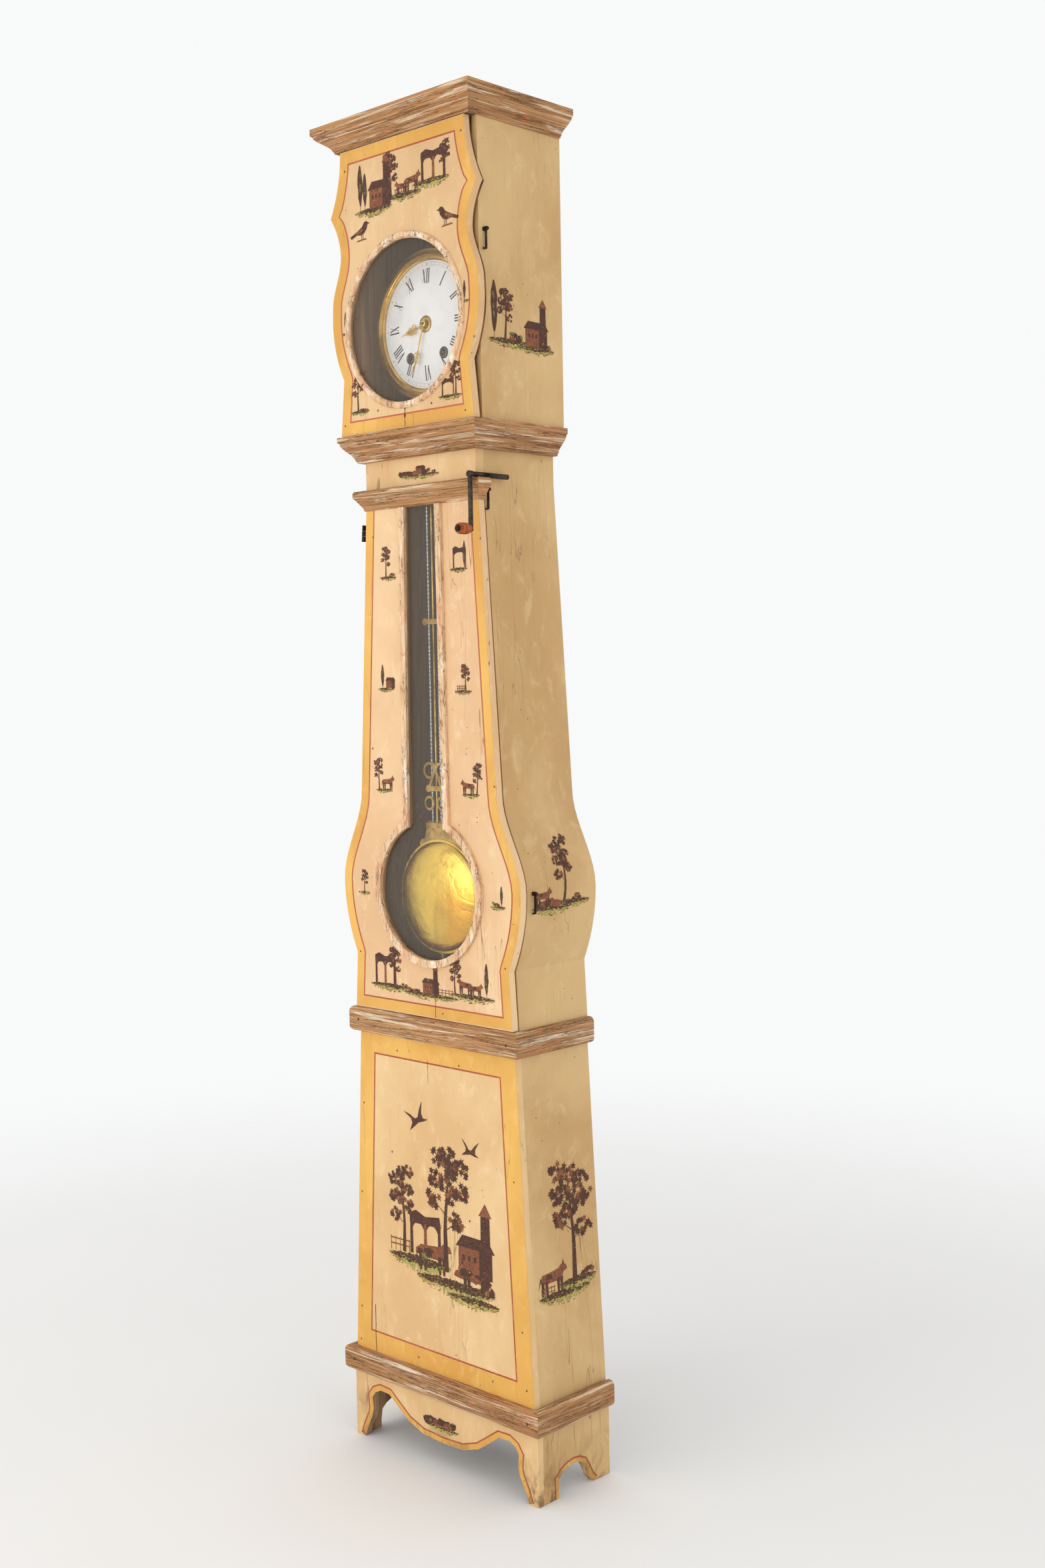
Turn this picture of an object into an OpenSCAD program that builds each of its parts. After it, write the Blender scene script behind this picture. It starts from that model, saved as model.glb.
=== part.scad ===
/* [Carcass] */
// Height from the floor to the top of the upper cornice
case_h = 2400; // [2395:1:2420]
// Depth of the carcass from the front of the base to the back
case_d = 185; // [170:1:200]
// Thickness of the side boards
side_t = 12; // [9:1:13]
// Thickness of the front boards
front_t = 13; // [10:1:16]
// Thickness of the back board
back_t = 12; // [8:1:14]
// Gap left beside a part that must come free
gap = 0.3; // [0.2:0.05:0.5]

/* [Base] */
// Half width of the base
base_hw = 236; // [233:1:240]
// Height of the base boards, hidden behind the lower belt
base_h = 148; // [142:1:154]
// Height of the lowest point of the apron
apron_z = 46; // [38:1:56]
// Height of the arches on the front
arch_z = 99; // [92:1:106]
// Width of a front foot at the floor
foot_w = 23; // [18:1:30]
// Distance from the base's edge in to the widest place of the arches
arch_in = 45; // [40:1:50]
// Height of the arch in the side boards
side_arch_h = 50; // [40:1:60]
// Width of the arch in the side boards
side_arch_w = 92; // [80:1:104]

/* [Belts] */
// Bottom of the lower belt
low_belt_z = 126; // [120:1:130]
// Bottom of the middle belt
mid_belt_z = 776; // [770:1:782]
// Height of a belt
belt_h = 46; // [40:1:48]
// Distance that a belt stands out
belt_out = 14; // [10:1:18]
// Radius of a belt's round edges
belt_r = 9; // [5:1:12]

/* [Pedestal] */
// Distance of the pedestal's foot inside the base's edge
ped_in = 5; // [4:1:10]
// Distance of the pedestal's top inside the trunk's foot
ped_top_in = 3; // [1:1:6]
// Height of the joint between pedestal and trunk
ped_top_z = 797; // [790:1:804]

/* [Trunk] */
// Distance of the trunk's foot inside the base's edge
trunk_in = 35; // [31:1:37]
// Height of the neck under the bulge
neck_z = 924; // [915:1:935]
// Distance of the neck inside the trunk's foot
neck_in = 6.5; // [3:0.5:11]
// Height of the widest place of the bulge
bulge_z = 1058; // [1045:1:1070]
// Distance that the bulge stands out past the trunk's foot
bulge_out = 25; // [19:0.5:29]
// Height where the bulge begins
shoulder_z = 1225; // [1205:1:1240]
// Half width where the bulge begins
shoulder_hw = 173; // [168:0.5:178]
// Half width at the top of the trunk
trunk_top_hw = 139; // [136:0.5:141]
// Distance of the side boards' front edge behind the base front
trunk_back = 10; // [8:1:14]

/* [Trunk door] */
// Thickness of the trunk door's board
tdoor_t = 13.4; // [11:0.2:15]
// Thickness of the dark strip behind the board
tstrip_t = 3.7; // [3:0.1:5]
// Distance that the door stands wider than the side boards
door_over = 2; // [1:0.5:3]
// Bottom edge of the trunk door
tdoor_low_z = 823; // [823:0.5:827]
// Distance from the hood's foot down to the top of the trunk door
tdoor_drop = 96; // [92:1:100]
// Height of the door's cornice
tcorn_h = 35; // [30:1:40]
// Distance that the door's cornice stands out
tcorn_out = 17; // [14:0.5:19]
// Half width of the slot at its top
slot_top_hw = 39; // [34:0.5:42]
// Half width of the slot at its bottom
slot_low_hw = 46; // [43:0.5:48]
// Height of the middle of the round window
win_z = 1048.5; // [1040:0.5:1055]
// Radius of the round window
win_r = 122; // [116:0.5:126]
// Width of the moulding round the window
win_mould = 13; // [10:0.5:15]
// Height of the window moulding over the board
mould_rise = 6; // [4:0.5:8]
// Thickness of the lip in front of a pane
lip_t = 4; // [3:0.5:5]
// Thickness of the panes
glass_t = 2; // [1.5:0.1:2.5]

/* [Waist] */
// Height of the waist cornice, on which the hood stands
waist_h = 46; // [42:1:52]
// Distance that the waist cornice stands out at its top
waist_out = 36; // [33:0.5:38]
// Thickness of the frieze board
frieze_t = 19; // [16:0.5:20]

/* [Hood] */
// Height of the hood with its cornice
hood_h = 542; // [538:1:544]
// Half width of the hood
hood_hw = 166; // [163:0.5:168]
// Distance of the hood's side boards in front of the base front
hood_fwd = 18; // [14:1:21]
// Thickness of the hood door's board
hdoor_t = 13; // [11:0.5:15]
// Thickness of the dark strip behind the hood door's board
hstrip_t = 7.7; // [6:0.1:9]
// Height of the top cornice
corn_h = 43; // [38:1:48]
// Distance that the top cornice stands out
corn_out = 33.5; // [30:0.5:37]
// Radius of the hood door's window
ring_r = 138; // [134:0.5:142]
// Width of the ring moulding
ring_w = 12; // [9:0.5:14]
// Height of the dial's middle over the hood's foot
dial_rise = 184; // [180:0.5:188]
// Thickness of the roof board
roof_t = 18; // [12:1:22]

/* [Hinges and hooks] */
// Radius of a hinge pin
pin_r = 1.6; // [1.4:0.1:2]
// Radius of a hinge knuckle
knuckle_r = 3.4; // [3:0.1:3.8]
// Length of a hinge
hinge_l = 30; // [24:1:36]
// Thickness of a hinge leaf
leaf_t = 1.6; // [1.2:0.1:2]
// Clearance round a turning pin
fit = 0.06; // [0.03:0.01:0.09]
// Height of the hood door's upper hinge over the hood's foot
hinge_hi = 317; // [307:1:327]
// Height of the hood door's lower hinge over the hood's foot
hinge_lo = 67; // [57:1:77]
// Radius of a hook's wire
wire_r = 1.5; // [1.2:0.1:1.8]
// Length of a hook
hook_l = 30; // [24:1:36]

/* [Crank] */
// Radius of the crank's pipe
crank_r = 4.5; // [3.8:0.1:5]
// Length of the crank's pipe
crank_l = 92; // [84:1:98]
// Length of the crank's arm
crank_arm = 92; // [80:1:100]
// Radius of the crank's wooden handle
grip_r = 10; // [8:0.5:11]
// Length of the crank's wooden handle
grip_l = 27; // [22:1:28]

/* [Dial] */
// Radius of the enamel dial
dial_r = 110; // [106:0.5:113]
// Radius of the brass surround
brass_r = 132; // [129:0.5:135]
// Distance from the middle of the dial to a winding square, sideways
wind_x = 42; // [40:0.5:44]
// Distance from the middle of the dial down to a winding square
wind_drop = 54; // [51:0.5:57]

/* [Movement] */
// Half width of the cage
cage_hw = 88; // [84:1:94]
// Depth of the cage
cage_d = 110; // [106:1:112]
// Thickness of the cage's plates
plate_t = 4; // [3:0.5:5]
// Height of the cage with its plates
cage_h = 278; // [272:1:282]
// Thickness of the seat board
seat_t = 30; // [26:1:34]
// Radius of a winding drum
drum_r = 27; // [24:0.5:28]
// Length of a winding drum
drum_l = 50; // [44:1:54]
// Radius of a weight's rope
rope_r = 2.5; // [2:0.1:3]
// Radius of a weight
weight_r = 35; // [31:0.5:38]
// Height of a weight
weight_h = 135; // [120:1:150]
// Height of a weight's hook when the clock has run down
weight_z = 820; // [790:1:840]
// Radius of the bell
bell_r = 56; // [50:1:60]

/* [Train] */
// Module of the lower wheels
mod_low = 0.85; // [0.82:0.005:0.87]
// Module of the centre wheel
mod_mid = 0.7; // [0.69:0.005:0.71]
// Module of the third wheel
mod_top = 0.7; // [0.69:0.005:0.72]
// Thickness of a wheel
wheel_t = 2.4; // [2:0.1:3]
// Radius of an arbor
arbor_r = 2; // [1.6:0.1:2.4]

/* [Pendulum] */
// Height of the pendulum's suspension over the cage
sus_over = 14; // [10:0.5:18]
// Height of the bob's middle
bob_z = 1037; // [1028:1:1046]
// Radius of the bob
bob_r = 102; // [97:0.5:106]
// Height of the neck plate over the bob
neck_rise = 33; // [30:1:36]
// Distance from the neck plate up to the lower brace
lyre_h = 58; // [55:1:64]
// Distance between the two braces
brace_pitch = 295; // [250:5:340]
// Height of the bob's dome
bob_h = 16; // [12:0.5:18]
// Distance of a side rod from the middle rod
rod_x = 11; // [9:0.5:13]
// Radius of a rod
rod_r = 2.4; // [2:0.1:2.8]

/* [Hidden] */
$fn = 48;
eps = 0.01;
steps = 10;
cream = [0.9, 0.79, 0.6];
tan_paint = [0.83, 0.7, 0.48];
worn = [0.72, 0.48, 0.3];
dark_wood = [0.24, 0.17, 0.12];
iron = [0.2, 0.18, 0.17];
steel = [0.55, 0.56, 0.58];
brass = [0.8, 0.62, 0.28];

// Levels and half widths that follow from the sizes above
hood_z = case_h - hood_h;
waist_z = hood_z - waist_h;
tdoor_top_z = hood_z - tdoor_drop;
dial_z = hood_z + dial_rise;
hinge_hi_z = hood_z + hinge_hi;
hinge_lo_z = hood_z + hinge_lo;
foot_x = base_hw - foot_w;
arch_x = base_hw - arch_in;
ped_low_hw = base_hw - ped_in;
trunk_low_hw = base_hw - trunk_in;
ped_top_hw = trunk_low_hw - ped_top_in;
neck_hw = trunk_low_hw - neck_in;
bulge_hw = trunk_low_hw + bulge_out;

// Planes across the depth
head_fwd = hood_fwd + hstrip_t + 2 * gap + hdoor_t - 1.5;
back_y = (case_d + head_fwd + corn_out) / 2;
front_y = back_y - case_d;
trunk_y = front_y + trunk_back;
hood_y = front_y - hood_fwd;
hstrip_y = hood_y - gap;
hdoor_back = hstrip_y - hstrip_t;
hdoor_front = hdoor_back - hdoor_t;
corn_y = front_y - head_fwd;
tstrip_y = trunk_y - gap;
tdoor_back = tstrip_y - tstrip_t;
tdoor_front = tdoor_back - tdoor_t;
frieze_y = trunk_y - gap - frieze_t;
inner_back = back_y - back_t;
dial_y = front_y + 19;
pend_y = dial_y + 11;
rods_y = pend_y - 12;
bob_y = rods_y + 5;
cage_y = pend_y + 17;
roof_z = case_h - corn_h;
seat_z = hood_z;
cage_z = seat_z + seat_t;
cage_top = cage_z + cage_h;
sus_z = cage_top + sus_over;

// Easing of a stretch of an outline, from 0 to 1
function ease(kind, t) = kind == "s" ? t * t * (3 - 2 * t) : kind == "in" ? t * t :
    kind == "out" ? 1 - (1 - t) * (1 - t) : t;
function stretch(a, b) = [for (i = [0 : steps - 1]) let (t = i / steps)
    [a[0] + (b[0] - a[0]) * ease(b[2], t), a[1] + (b[1] - a[1]) * t]];
// Edge of a board from the bottom up; each key is half width, height and the kind of stretch that ends there
function edge(keys, less = 0) = [for (p = concat(
    [for (k = [0 : len(keys) - 2]) each keys[k + 1][2] == "line" ? [keys[k]] : stretch(keys[k], keys[k + 1])],
    [keys[len(keys) - 1]])) [p[0] - less, p[1]]];
function mirrored(pts) = [for (i = [len(pts) - 1 : -1 : 0]) [-pts[i][0], pts[i][1]]];
module outline(keys, less = 0) polygon(concat(edge(keys, less), mirrored(edge(keys, less))));
module side_strip(keys, thick, less = 0) {
    e = edge(keys, less);
    polygon(concat(e, [for (i = [len(e) - 1 : -1 : 0]) [e[i][0] - thick, e[i][1]]]));
}
// Extrude a drawing in X and Z from the plane y0 back to y1
module slab(y0, y1) translate([0, y1, 0]) rotate([90, 0, 0]) linear_extrude(y1 - y0) children();
// Extrude a drawing in Y and Z along X
module along_x(x0, x1) translate([x0, 0, 0]) rotate([90, 0, 90]) linear_extrude(x1 - x0) children();
module both() { children(); mirror([1, 0, 0]) children(); }
module rod_y(r, x, z, y0, y1) translate([x, y1, z]) rotate([90, 0, 0]) cylinder(r = r, h = y1 - y0);

// Outlines of the trunk and of the two doors
trunk_low = [[trunk_low_hw, ped_top_z], [neck_hw, neck_z, "line"], [bulge_hw - door_over, bulge_z, "out"],
    [shoulder_hw - 1, shoulder_z, "s"], [trunk_top_hw, tdoor_top_z, "line"]];
trunk_keys = concat(trunk_low, [[trunk_top_hw, hood_z, "line"]]);
tdoor_keys = [[trunk_low_hw, tdoor_low_z], [neck_hw, neck_z, "line"], [bulge_hw, bulge_z, "out"],
    [shoulder_hw, shoulder_z, "s"], [trunk_top_hw + door_over, tdoor_top_z, "line"]];
hdoor_low = hood_z + 1.5;
hdoor_top = roof_z - 1;
hdoor_keys = [[hood_hw + 3, hdoor_low], [hood_hw - 7.5, dial_z - 84, "line"],
    [hood_hw + 19.5, dial_z + 20, "out"],
    [hood_hw + 18.5, dial_z + 45, "line"], [hood_hw - 6, dial_z + 133, "s"],
    [hood_hw + 19, dial_z + 204, "in"], [hood_hw - 10, hdoor_top, "out"]];
ped_keys = [[ped_low_hw, base_h], [ped_top_hw, ped_top_z, "line"]];

// Mouldings: an outward profile taken round the front and both sides with mitred corners
module mitred(hw, yf, yb, z0, z1, reach) {
    deep = 40;
    seam = 0.1;
    intersection() {
        along_x(-hw - reach - 1, hw + reach + 1) translate([yf, 0]) mirror([1, 0]) children();
        translate([0, 0, z0 - 1]) linear_extrude(z1 - z0 + 2) polygon([[-hw - reach - 1, yf - reach - 1],
            [hw + reach + 1, yf - reach - 1], [hw - deep, yf + deep], [-hw + deep, yf + deep]]);
    }
    both() intersection() {
        slab(yf - reach - 1, yb) translate([hw, 0]) children();
        translate([0, 0, z0 - 1]) linear_extrude(z1 - z0 + 2) polygon([[hw - deep, yf + deep + seam],
            [hw + reach + 1, yf - reach - 1 + seam], [hw + reach + 1, yb + 1], [hw - deep, yb + 1]]);
    }
}
function arc(cx, cz, r, a0, a1, n = 5) = [for (i = [0 : n]) let (a = a0 + (a1 - a0) * i / n)
    [cx + r * cos(a), cz + r * sin(a)]];
module belt_profile(z, back) polygon(concat([[back, z]], arc(belt_out - belt_r, z + belt_r, belt_r, -90, 0),
    arc(belt_out - belt_r, z + belt_h - belt_r, belt_r, 0, 90), [[back, z + belt_h]]));
module cornice_profile(z0, z1, low, high, lip) polygon(concat([[0, z0], [low, z0], [low, z0 + 3]],
    [for (i = [0 : 10]) [low + 2 + (high - low - 5) * ease("s", i / 10), z0 + 4 + (z1 - z0 - lip - 6) * i / 10]],
    [[high - 1, z1 - lip - 1], [high, z1 - lip], [high, z1], [0, z1]]));

// Base
// Front arch from the foot to the middle, as shares of the arch's half width and height
arch_shares = [[0.984, 0.606], [0.995, 0.818], [0.953, 0.929], [0.874, 1], [0.749, 0.99], [0.623, 0.818]];
function apron_side() = concat([[foot_x, 0], [foot_x - 0.4 * foot_w, 0.222 * arch_z], [arch_x, 0.4545 * arch_z]],
    [for (s = arch_shares) [s[0] * arch_x, s[1] * arch_z]],
    [[0.476 * arch_x, apron_z + 16], [0.277 * arch_x, apron_z + 3]]);
module base_front_board() color(cream) slab(front_y, front_y + front_t) {
    low = [for (i = [len(apron_side()) - 1 : -1 : 0]) apron_side()[i]];
    polygon(concat([[base_hw, base_h], [-base_hw, base_h], [-base_hw, 0]], mirrored(low), [[0, apron_z]], low,
        [[base_hw, 0]]));
}
side_foot = 51;
module base_side_boards() color(tan_paint) both() along_x(base_hw - side_t - 3, base_hw) difference() {
    translate([front_y + front_t, 0]) square([back_y - front_y - front_t, base_h]);
    translate([front_y + side_foot, 0]) polygon([for (p = [[-3, -1], [-3, 0.3], [0, 0.68], [0.12, 0.85],
        [0.27, 0.96], [0.42, 1], [0.57, 0.96], [0.7, 0.84], [0.78, 0.62], [0.88, 0.25], [1, 0], [1, -1]])
        [p[0] < 0 ? p[0] : p[0] * side_arch_w, p[1] * side_arch_h]]);
}
module lower_belt() color(worn) mitred(base_hw, front_y, back_y, low_belt_z, low_belt_z + belt_h, belt_out)
    belt_profile(low_belt_z, 0);
module pedestal_front_board() color(cream) slab(front_y, front_y + front_t) outline(ped_keys);
module pedestal_side_boards() color(tan_paint) slab(front_y + front_t, back_y)
    both() side_strip(ped_keys, side_t);
module middle_belt() color(worn) mitred(trunk_low_hw, front_y, back_y, mid_belt_z, mid_belt_z + belt_h, belt_out)
    belt_profile(mid_belt_z, 0);

// Trunk and hood
module trunk_side_boards() color(tan_paint) slab(trunk_y, back_y) both() side_strip(trunk_keys, side_t);
module frieze_board() color(cream) slab(frieze_y, trunk_y)
    translate([-trunk_top_hw, tdoor_top_z + 2]) square([2 * trunk_top_hw, hood_z - tdoor_top_z - 2]);
module waist_cornice() color(worn) mitred(trunk_top_hw, frieze_y, back_y, waist_z, hood_z, waist_out)
    cornice_profile(waist_z, hood_z, 11, waist_out, 9);
module hood_side_boards() color(tan_paint) slab(hood_y, back_y) both()
    translate([hood_hw - side_t, hood_z]) square([side_t, roof_z - hood_z]);
module roof_board() color(dark_wood) slab(corn_y, back_y)
    translate([-hood_hw, roof_z]) square([2 * hood_hw, roof_t]);
module top_cornice() color(worn) mitred(hood_hw, corn_y, back_y, roof_z, case_h, corn_out)
    cornice_profile(roof_z, case_h, 3, corn_out, 11);
back_low_z = 70;
module back_board() color(dark_wood) slab(inner_back, back_y) {
    outline([[base_hw - side_t - 4, back_low_z], [base_hw - side_t - 4, base_h - gap, "line"]]);
    translate([0, -gap]) outline(ped_keys, side_t + gap);
    outline(trunk_keys, side_t + gap);
    translate([-(hood_hw - side_t), hood_z]) square([2 * (hood_hw - side_t), roof_z - hood_z]);
}
rope_x = wind_x + drum_r + rope_r;
drum_y = cage_y + cage_d / 2 - 4;
seat_hw = hood_hw - side_t - 7;
module seat_board() color(dark_wood) difference() {
    translate([-seat_hw, cage_y - 4, seat_z]) cube([2 * seat_hw, inner_back - cage_y + 4, seat_t]);
    for (s = [-1, 1]) translate([s * rope_x, drum_y, seat_z - 1]) cylinder(r = 3 * rope_r, h = seat_t + 2);
}

// Hinges: a leaf rolled round a pin, in thirds, with the middle one on the door
tax_low = [-(bulge_hw + knuckle_r + 2.6), bulge_z];
tax_high = [-(trunk_top_hw + 26), tdoor_top_z - 17];
tax_tilt = atan2(tax_high[0] - tax_low[0], tax_high[1] - tax_low[1]);
function tax_x(z) = tax_low[0] + (z - tax_low[1]) * (tax_high[0] - tax_low[0]) / (tax_high[1] - tax_low[1]);
thinge_z = [bulge_z, tdoor_top_z - 72];
third = hinge_l / 3;
// Case half of a hinge: two knuckles fixed on the pin, and straps back along the side board
module case_leaf(reach, strap) {
    translate([0, 0, -hinge_l / 2]) {
        cylinder(r = pin_r, h = hinge_l);
        for (z = [0, 2 * third]) translate([0, 0, z]) {
            cylinder(r = knuckle_r, h = third);
            translate([0, knuckle_r - leaf_t, 0]) cube([reach, leaf_t, third]);
            translate([reach - leaf_t, knuckle_r - leaf_t, 0]) cube([leaf_t, strap, third]);
        }
    }
}
// Door half of a hinge: the middle knuckle and a leaf behind the door's board
module door_leaf(reach) difference() {
    translate([0, 0, -third / 2 + gap]) {
        cylinder(r = knuckle_r, h = third - 2 * gap);
        translate([0, -knuckle_r, 0]) cube([reach, leaf_t, third - 2 * gap]);
    }
    translate([0, 0, -third]) cylinder(r = pin_r + fit, h = 2 * third);
}
hood_axis_x0 = hood_hw + knuckle_r + 0.6;
hood_hinge_y = hdoor_back + knuckle_r + 0.2;
trunk_hinge_y = tdoor_back + knuckle_r + 0.2;
module at_hood_hinges() for (z = [hinge_lo_z, hinge_hi_z]) translate([-hood_axis_x0, hood_hinge_y, z]) children();
function trunk_side_x(z) = z > shoulder_z ? lookup(z, [[shoulder_z, shoulder_hw - 1], [tdoor_top_z, trunk_top_hw]])
    : bulge_hw - door_over;
module case_hinge_leaves() color(iron) {
    at_hood_hinges() case_leaf(knuckle_r + 0.3, 26);
    for (z = thinge_z) translate([tax_x(z), trunk_hinge_y, z]) rotate([0, tax_tilt, 0])
        case_leaf(-tax_x(z) - trunk_side_x(z) - 1, 26);
}
leaf_reach = 34;
module hood_door_leaves() color(iron) at_hood_hinges() door_leaf(leaf_reach);
module trunk_door_leaves() color(iron) for (z = thinge_z) translate([tax_x(z), trunk_hinge_y, z])
    rotate([0, tax_tilt, 0]) door_leaf(-tax_x(z) - trunk_side_x(z) + 24);

// Hood door
module hood_door_board() color(cream) difference() {
    slab(hdoor_front, hdoor_back) outline(hdoor_keys);
    rod_y(ring_r, 0, dial_z, hdoor_front - 1, hdoor_back + 1);
    rod_y(ring_r + 8, 0, dial_z, hdoor_front + lip_t, hdoor_back + 1);
}
strip_w = 22;
module hood_door_strip() color(dark_wood) difference() {
    slab(hdoor_back, hstrip_y) intersection() {
        outline(hdoor_keys, 4);
        translate([-hood_hw + 2, hdoor_low]) square([2 * hood_hw + 20, hdoor_top - hdoor_low]);
    }
    slab(hdoor_back - 1, hstrip_y + 1) translate([-hood_hw + strip_w, hdoor_low + strip_w])
        square([2 * (hood_hw - strip_w), hdoor_top - hdoor_low - 2 * strip_w]);
    slab(hdoor_back - 1, hstrip_y + 1) for (z = [hinge_lo_z, hinge_hi_z])
        translate([-hood_hw - 10, z - third]) square([42, 2 * third]);
}
module hood_ring_mould() color(worn) translate([0, hdoor_front, dial_z]) rotate([90, 0, 0])
    rotate_extrude($fn = 96) translate([ring_r, 0]) intersection() {
        translate([ring_w / 2, 0]) circle(ring_w / 2);
        square([ring_w, ring_w]);
    }
module hood_glass() color([0.8, 0.9, 0.9, 0.3])
    rod_y(ring_r + 7.8, 0, dial_z, hdoor_front + lip_t + gap, hdoor_front + lip_t + gap + glass_t);

// Trunk door
module window(grow) {
    translate([0, win_z]) circle(win_r + grow);
    polygon([[-slot_low_hw - grow, win_z], [slot_low_hw + grow, win_z],
        [slot_top_hw + grow, tdoor_top_z - tcorn_h], [-slot_top_hw - grow, tdoor_top_z - tcorn_h]]);
}
module trunk_door_board() color(cream) difference() {
    slab(tdoor_front, tdoor_back) outline(tdoor_keys);
    slab(tdoor_front - 1, tdoor_back + 1) window(0);
    slab(tdoor_front + lip_t, tdoor_back + 1) window(7);
}
module trunk_door_strip() color(dark_wood) difference() {
    slab(tdoor_back, tstrip_y) outline(tdoor_keys, 4);
    slab(tdoor_back - 1, tstrip_y + 1) window(16);
    slab(tdoor_back - 1, tstrip_y + 1) for (z = thinge_z)
        translate([tax_x(z) - 10, z - third]) square([62, 2 * third]);
}
module trunk_window_mould() color(worn) slab(tdoor_front - mould_rise, tdoor_front) difference() {
    window(win_mould);
    window(0);
    translate([-win_r, tdoor_top_z - tcorn_h - eps]) square([2 * win_r, tcorn_h]);
}
module trunk_door_cornice() color(worn)
    mitred(trunk_top_hw + door_over + 2.4, tdoor_front, tdoor_back, tdoor_top_z - tcorn_h, tdoor_top_z, tcorn_out)
    polygon([[0, tdoor_top_z - tcorn_h], [2, tdoor_top_z - tcorn_h], [4, tdoor_top_z - tcorn_h + 6],
        [tcorn_out - 4, tdoor_top_z - 16], [tcorn_out, tdoor_top_z - 12], [tcorn_out, tdoor_top_z - 3],
        [tcorn_out - 2, tdoor_top_z], [0, tdoor_top_z]]);
pane_z = win_z + win_r;
module trunk_glass() color([0.8, 0.9, 0.9, 0.3])
    slab(tdoor_front + lip_t + gap, tdoor_front + lip_t + gap + glass_t) {
    intersection() { window(6.8); translate([-case_d, pane_z + 0.2]) square([2 * case_d, case_h]); }
    intersection() { window(6.8); translate([-case_d, 0]) square([2 * case_d, pane_z]); }
}

// Hooks: each turns on a pin that stands out of the case's right side and hangs free
hood_hook_at = [hood_hw, hood_y + 12, dial_z + 130];
up_hook_at = [trunk_side_x(tdoor_top_z - 17), trunk_y + 4, tdoor_top_z - 18];
low_hook_at = [trunk_side_x(bulge_z), trunk_y + 14, bulge_z];
pin_out = 8;
module hook_pin(at) translate(at) rotate([0, 90, 0]) {
    translate([0, 0, -6]) cylinder(r = wire_r, h = pin_out + 6);
    translate([0, 0, pin_out]) cylinder(r = 2 * wire_r, h = 1.6);
    cylinder(r = 2.4 * wire_r, h = 3);
}
module hook_pins() color(iron) { hook_pin(hood_hook_at); hook_pin(up_hook_at); hook_pin(low_hook_at); }
module hook(at) color(iron) translate([at[0] + 3.6, at[1], at[2]]) rotate([0, 90, 0]) difference() {
    union() {
        cylinder(r = 2.5 * wire_r, h = 2 * wire_r);
        translate([2 * wire_r, -wire_r, 0]) cube([hook_l, 2 * wire_r, 2 * wire_r]);
        translate([hook_l + wire_r, -wire_r - 5, 0]) cube([2 * wire_r, 6, 2 * wire_r]);
    }
    translate([0, 0, -1]) cylinder(r = wire_r + fit, h = 2 * wire_r + 2);
}
module hood_hook() hook(hood_hook_at);
module trunk_hook_upper() hook(up_hook_at);
module trunk_hook_lower() hook(low_hook_at);

// Crank, hung over the right end of the trunk door's cornice
crank_room = 5.6;
crank_x = trunk_top_hw + crank_r + crank_room;
crank_z = tdoor_top_z + crank_r + gap;
crank_y0 = tdoor_front - tcorn_out - 10;
grip_z = crank_z - crank_arm;
module crank_key() color(iron) {
    difference() {
        rod_y(crank_r, crank_x, crank_z, crank_y0, crank_y0 + crank_l);
        translate([crank_x - 2.3, crank_y0 + crank_l - 16, crank_z - 2.3]) cube([4.6, 17, 4.6]);
    }
    translate([crank_x - 3, crank_y0 - 1, grip_z - 4]) cube([6, 5.5, crank_arm + 4]);
    rod_y(crank_r + 1, crank_x, crank_z, crank_y0 - 2, crank_y0 + 6);
    rod_y(2.5, crank_x, grip_z, crank_y0 - grip_l - 2.6, crank_y0);
    rod_y(grip_r * 0.55, crank_x, grip_z, crank_y0 - grip_l - 4.2, crank_y0 - grip_l - 2.2);
}
module crank_handle() color([0.6, 0.3, 0.12]) translate([crank_x, crank_y0 - 1.4, grip_z]) rotate([90, 0, 0])
    difference() {
        rotate_extrude() polygon([[0, 0], [grip_r * 0.72, 0], [grip_r * 0.75, 3], [grip_r * 0.95, 7],
            [grip_r, 14], [grip_r * 0.95, grip_l - 4], [grip_r * 0.85, grip_l - 0.6], [0, grip_l - 0.6]]);
        translate([0, 0, -1]) cylinder(r = 2.5 + fit, h = grip_l + 2);
    }

// Arbors of the going train, in X and Z
n_great = 80;
n_mid = 60;
n_centre = 80;
n_third = 71;
n_leaf = 10;
n_pin = 15;
drum_at = [wind_x, dial_z - wind_drop];
centre_at = [0, dial_z];
escape_at = [0, dial_z + 58];
d_great = mod_low * (n_great + n_leaf) / 2;
d_mid = mod_low * (n_mid + n_pin) / 2;
d_third = mod_mid * (n_centre + n_leaf) / 2;
d_escape = mod_top * (n_third + n_leaf) / 2;
// The point at distance a from p and b from q, on the side that s says
function meet(p, q, a, b, s) = let (d = norm(q - p), u = (q - p) / d, m = (a * a - b * b + d * d) / (2 * d),
    h = sqrt(a * a - m * m)) p + m * u + s * h * [-u[1], u[0]];
mid_at = meet(drum_at, centre_at, d_great, d_mid, 1);
third_at = meet(centre_at, escape_at, d_third, d_escape, -1);
function toward(p, q) = atan2(q[1] - p[1], q[0] - p[0]);
motion_d = 30;
motion_at = [0, dial_z + motion_d];
n_cannon = 12;
n_motion = 36;
n_hour = 48;
mod_cannon = 2 * motion_d / (n_cannon + n_motion);
mod_hour = 2 * motion_d / (n_cannon + n_hour);

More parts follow.
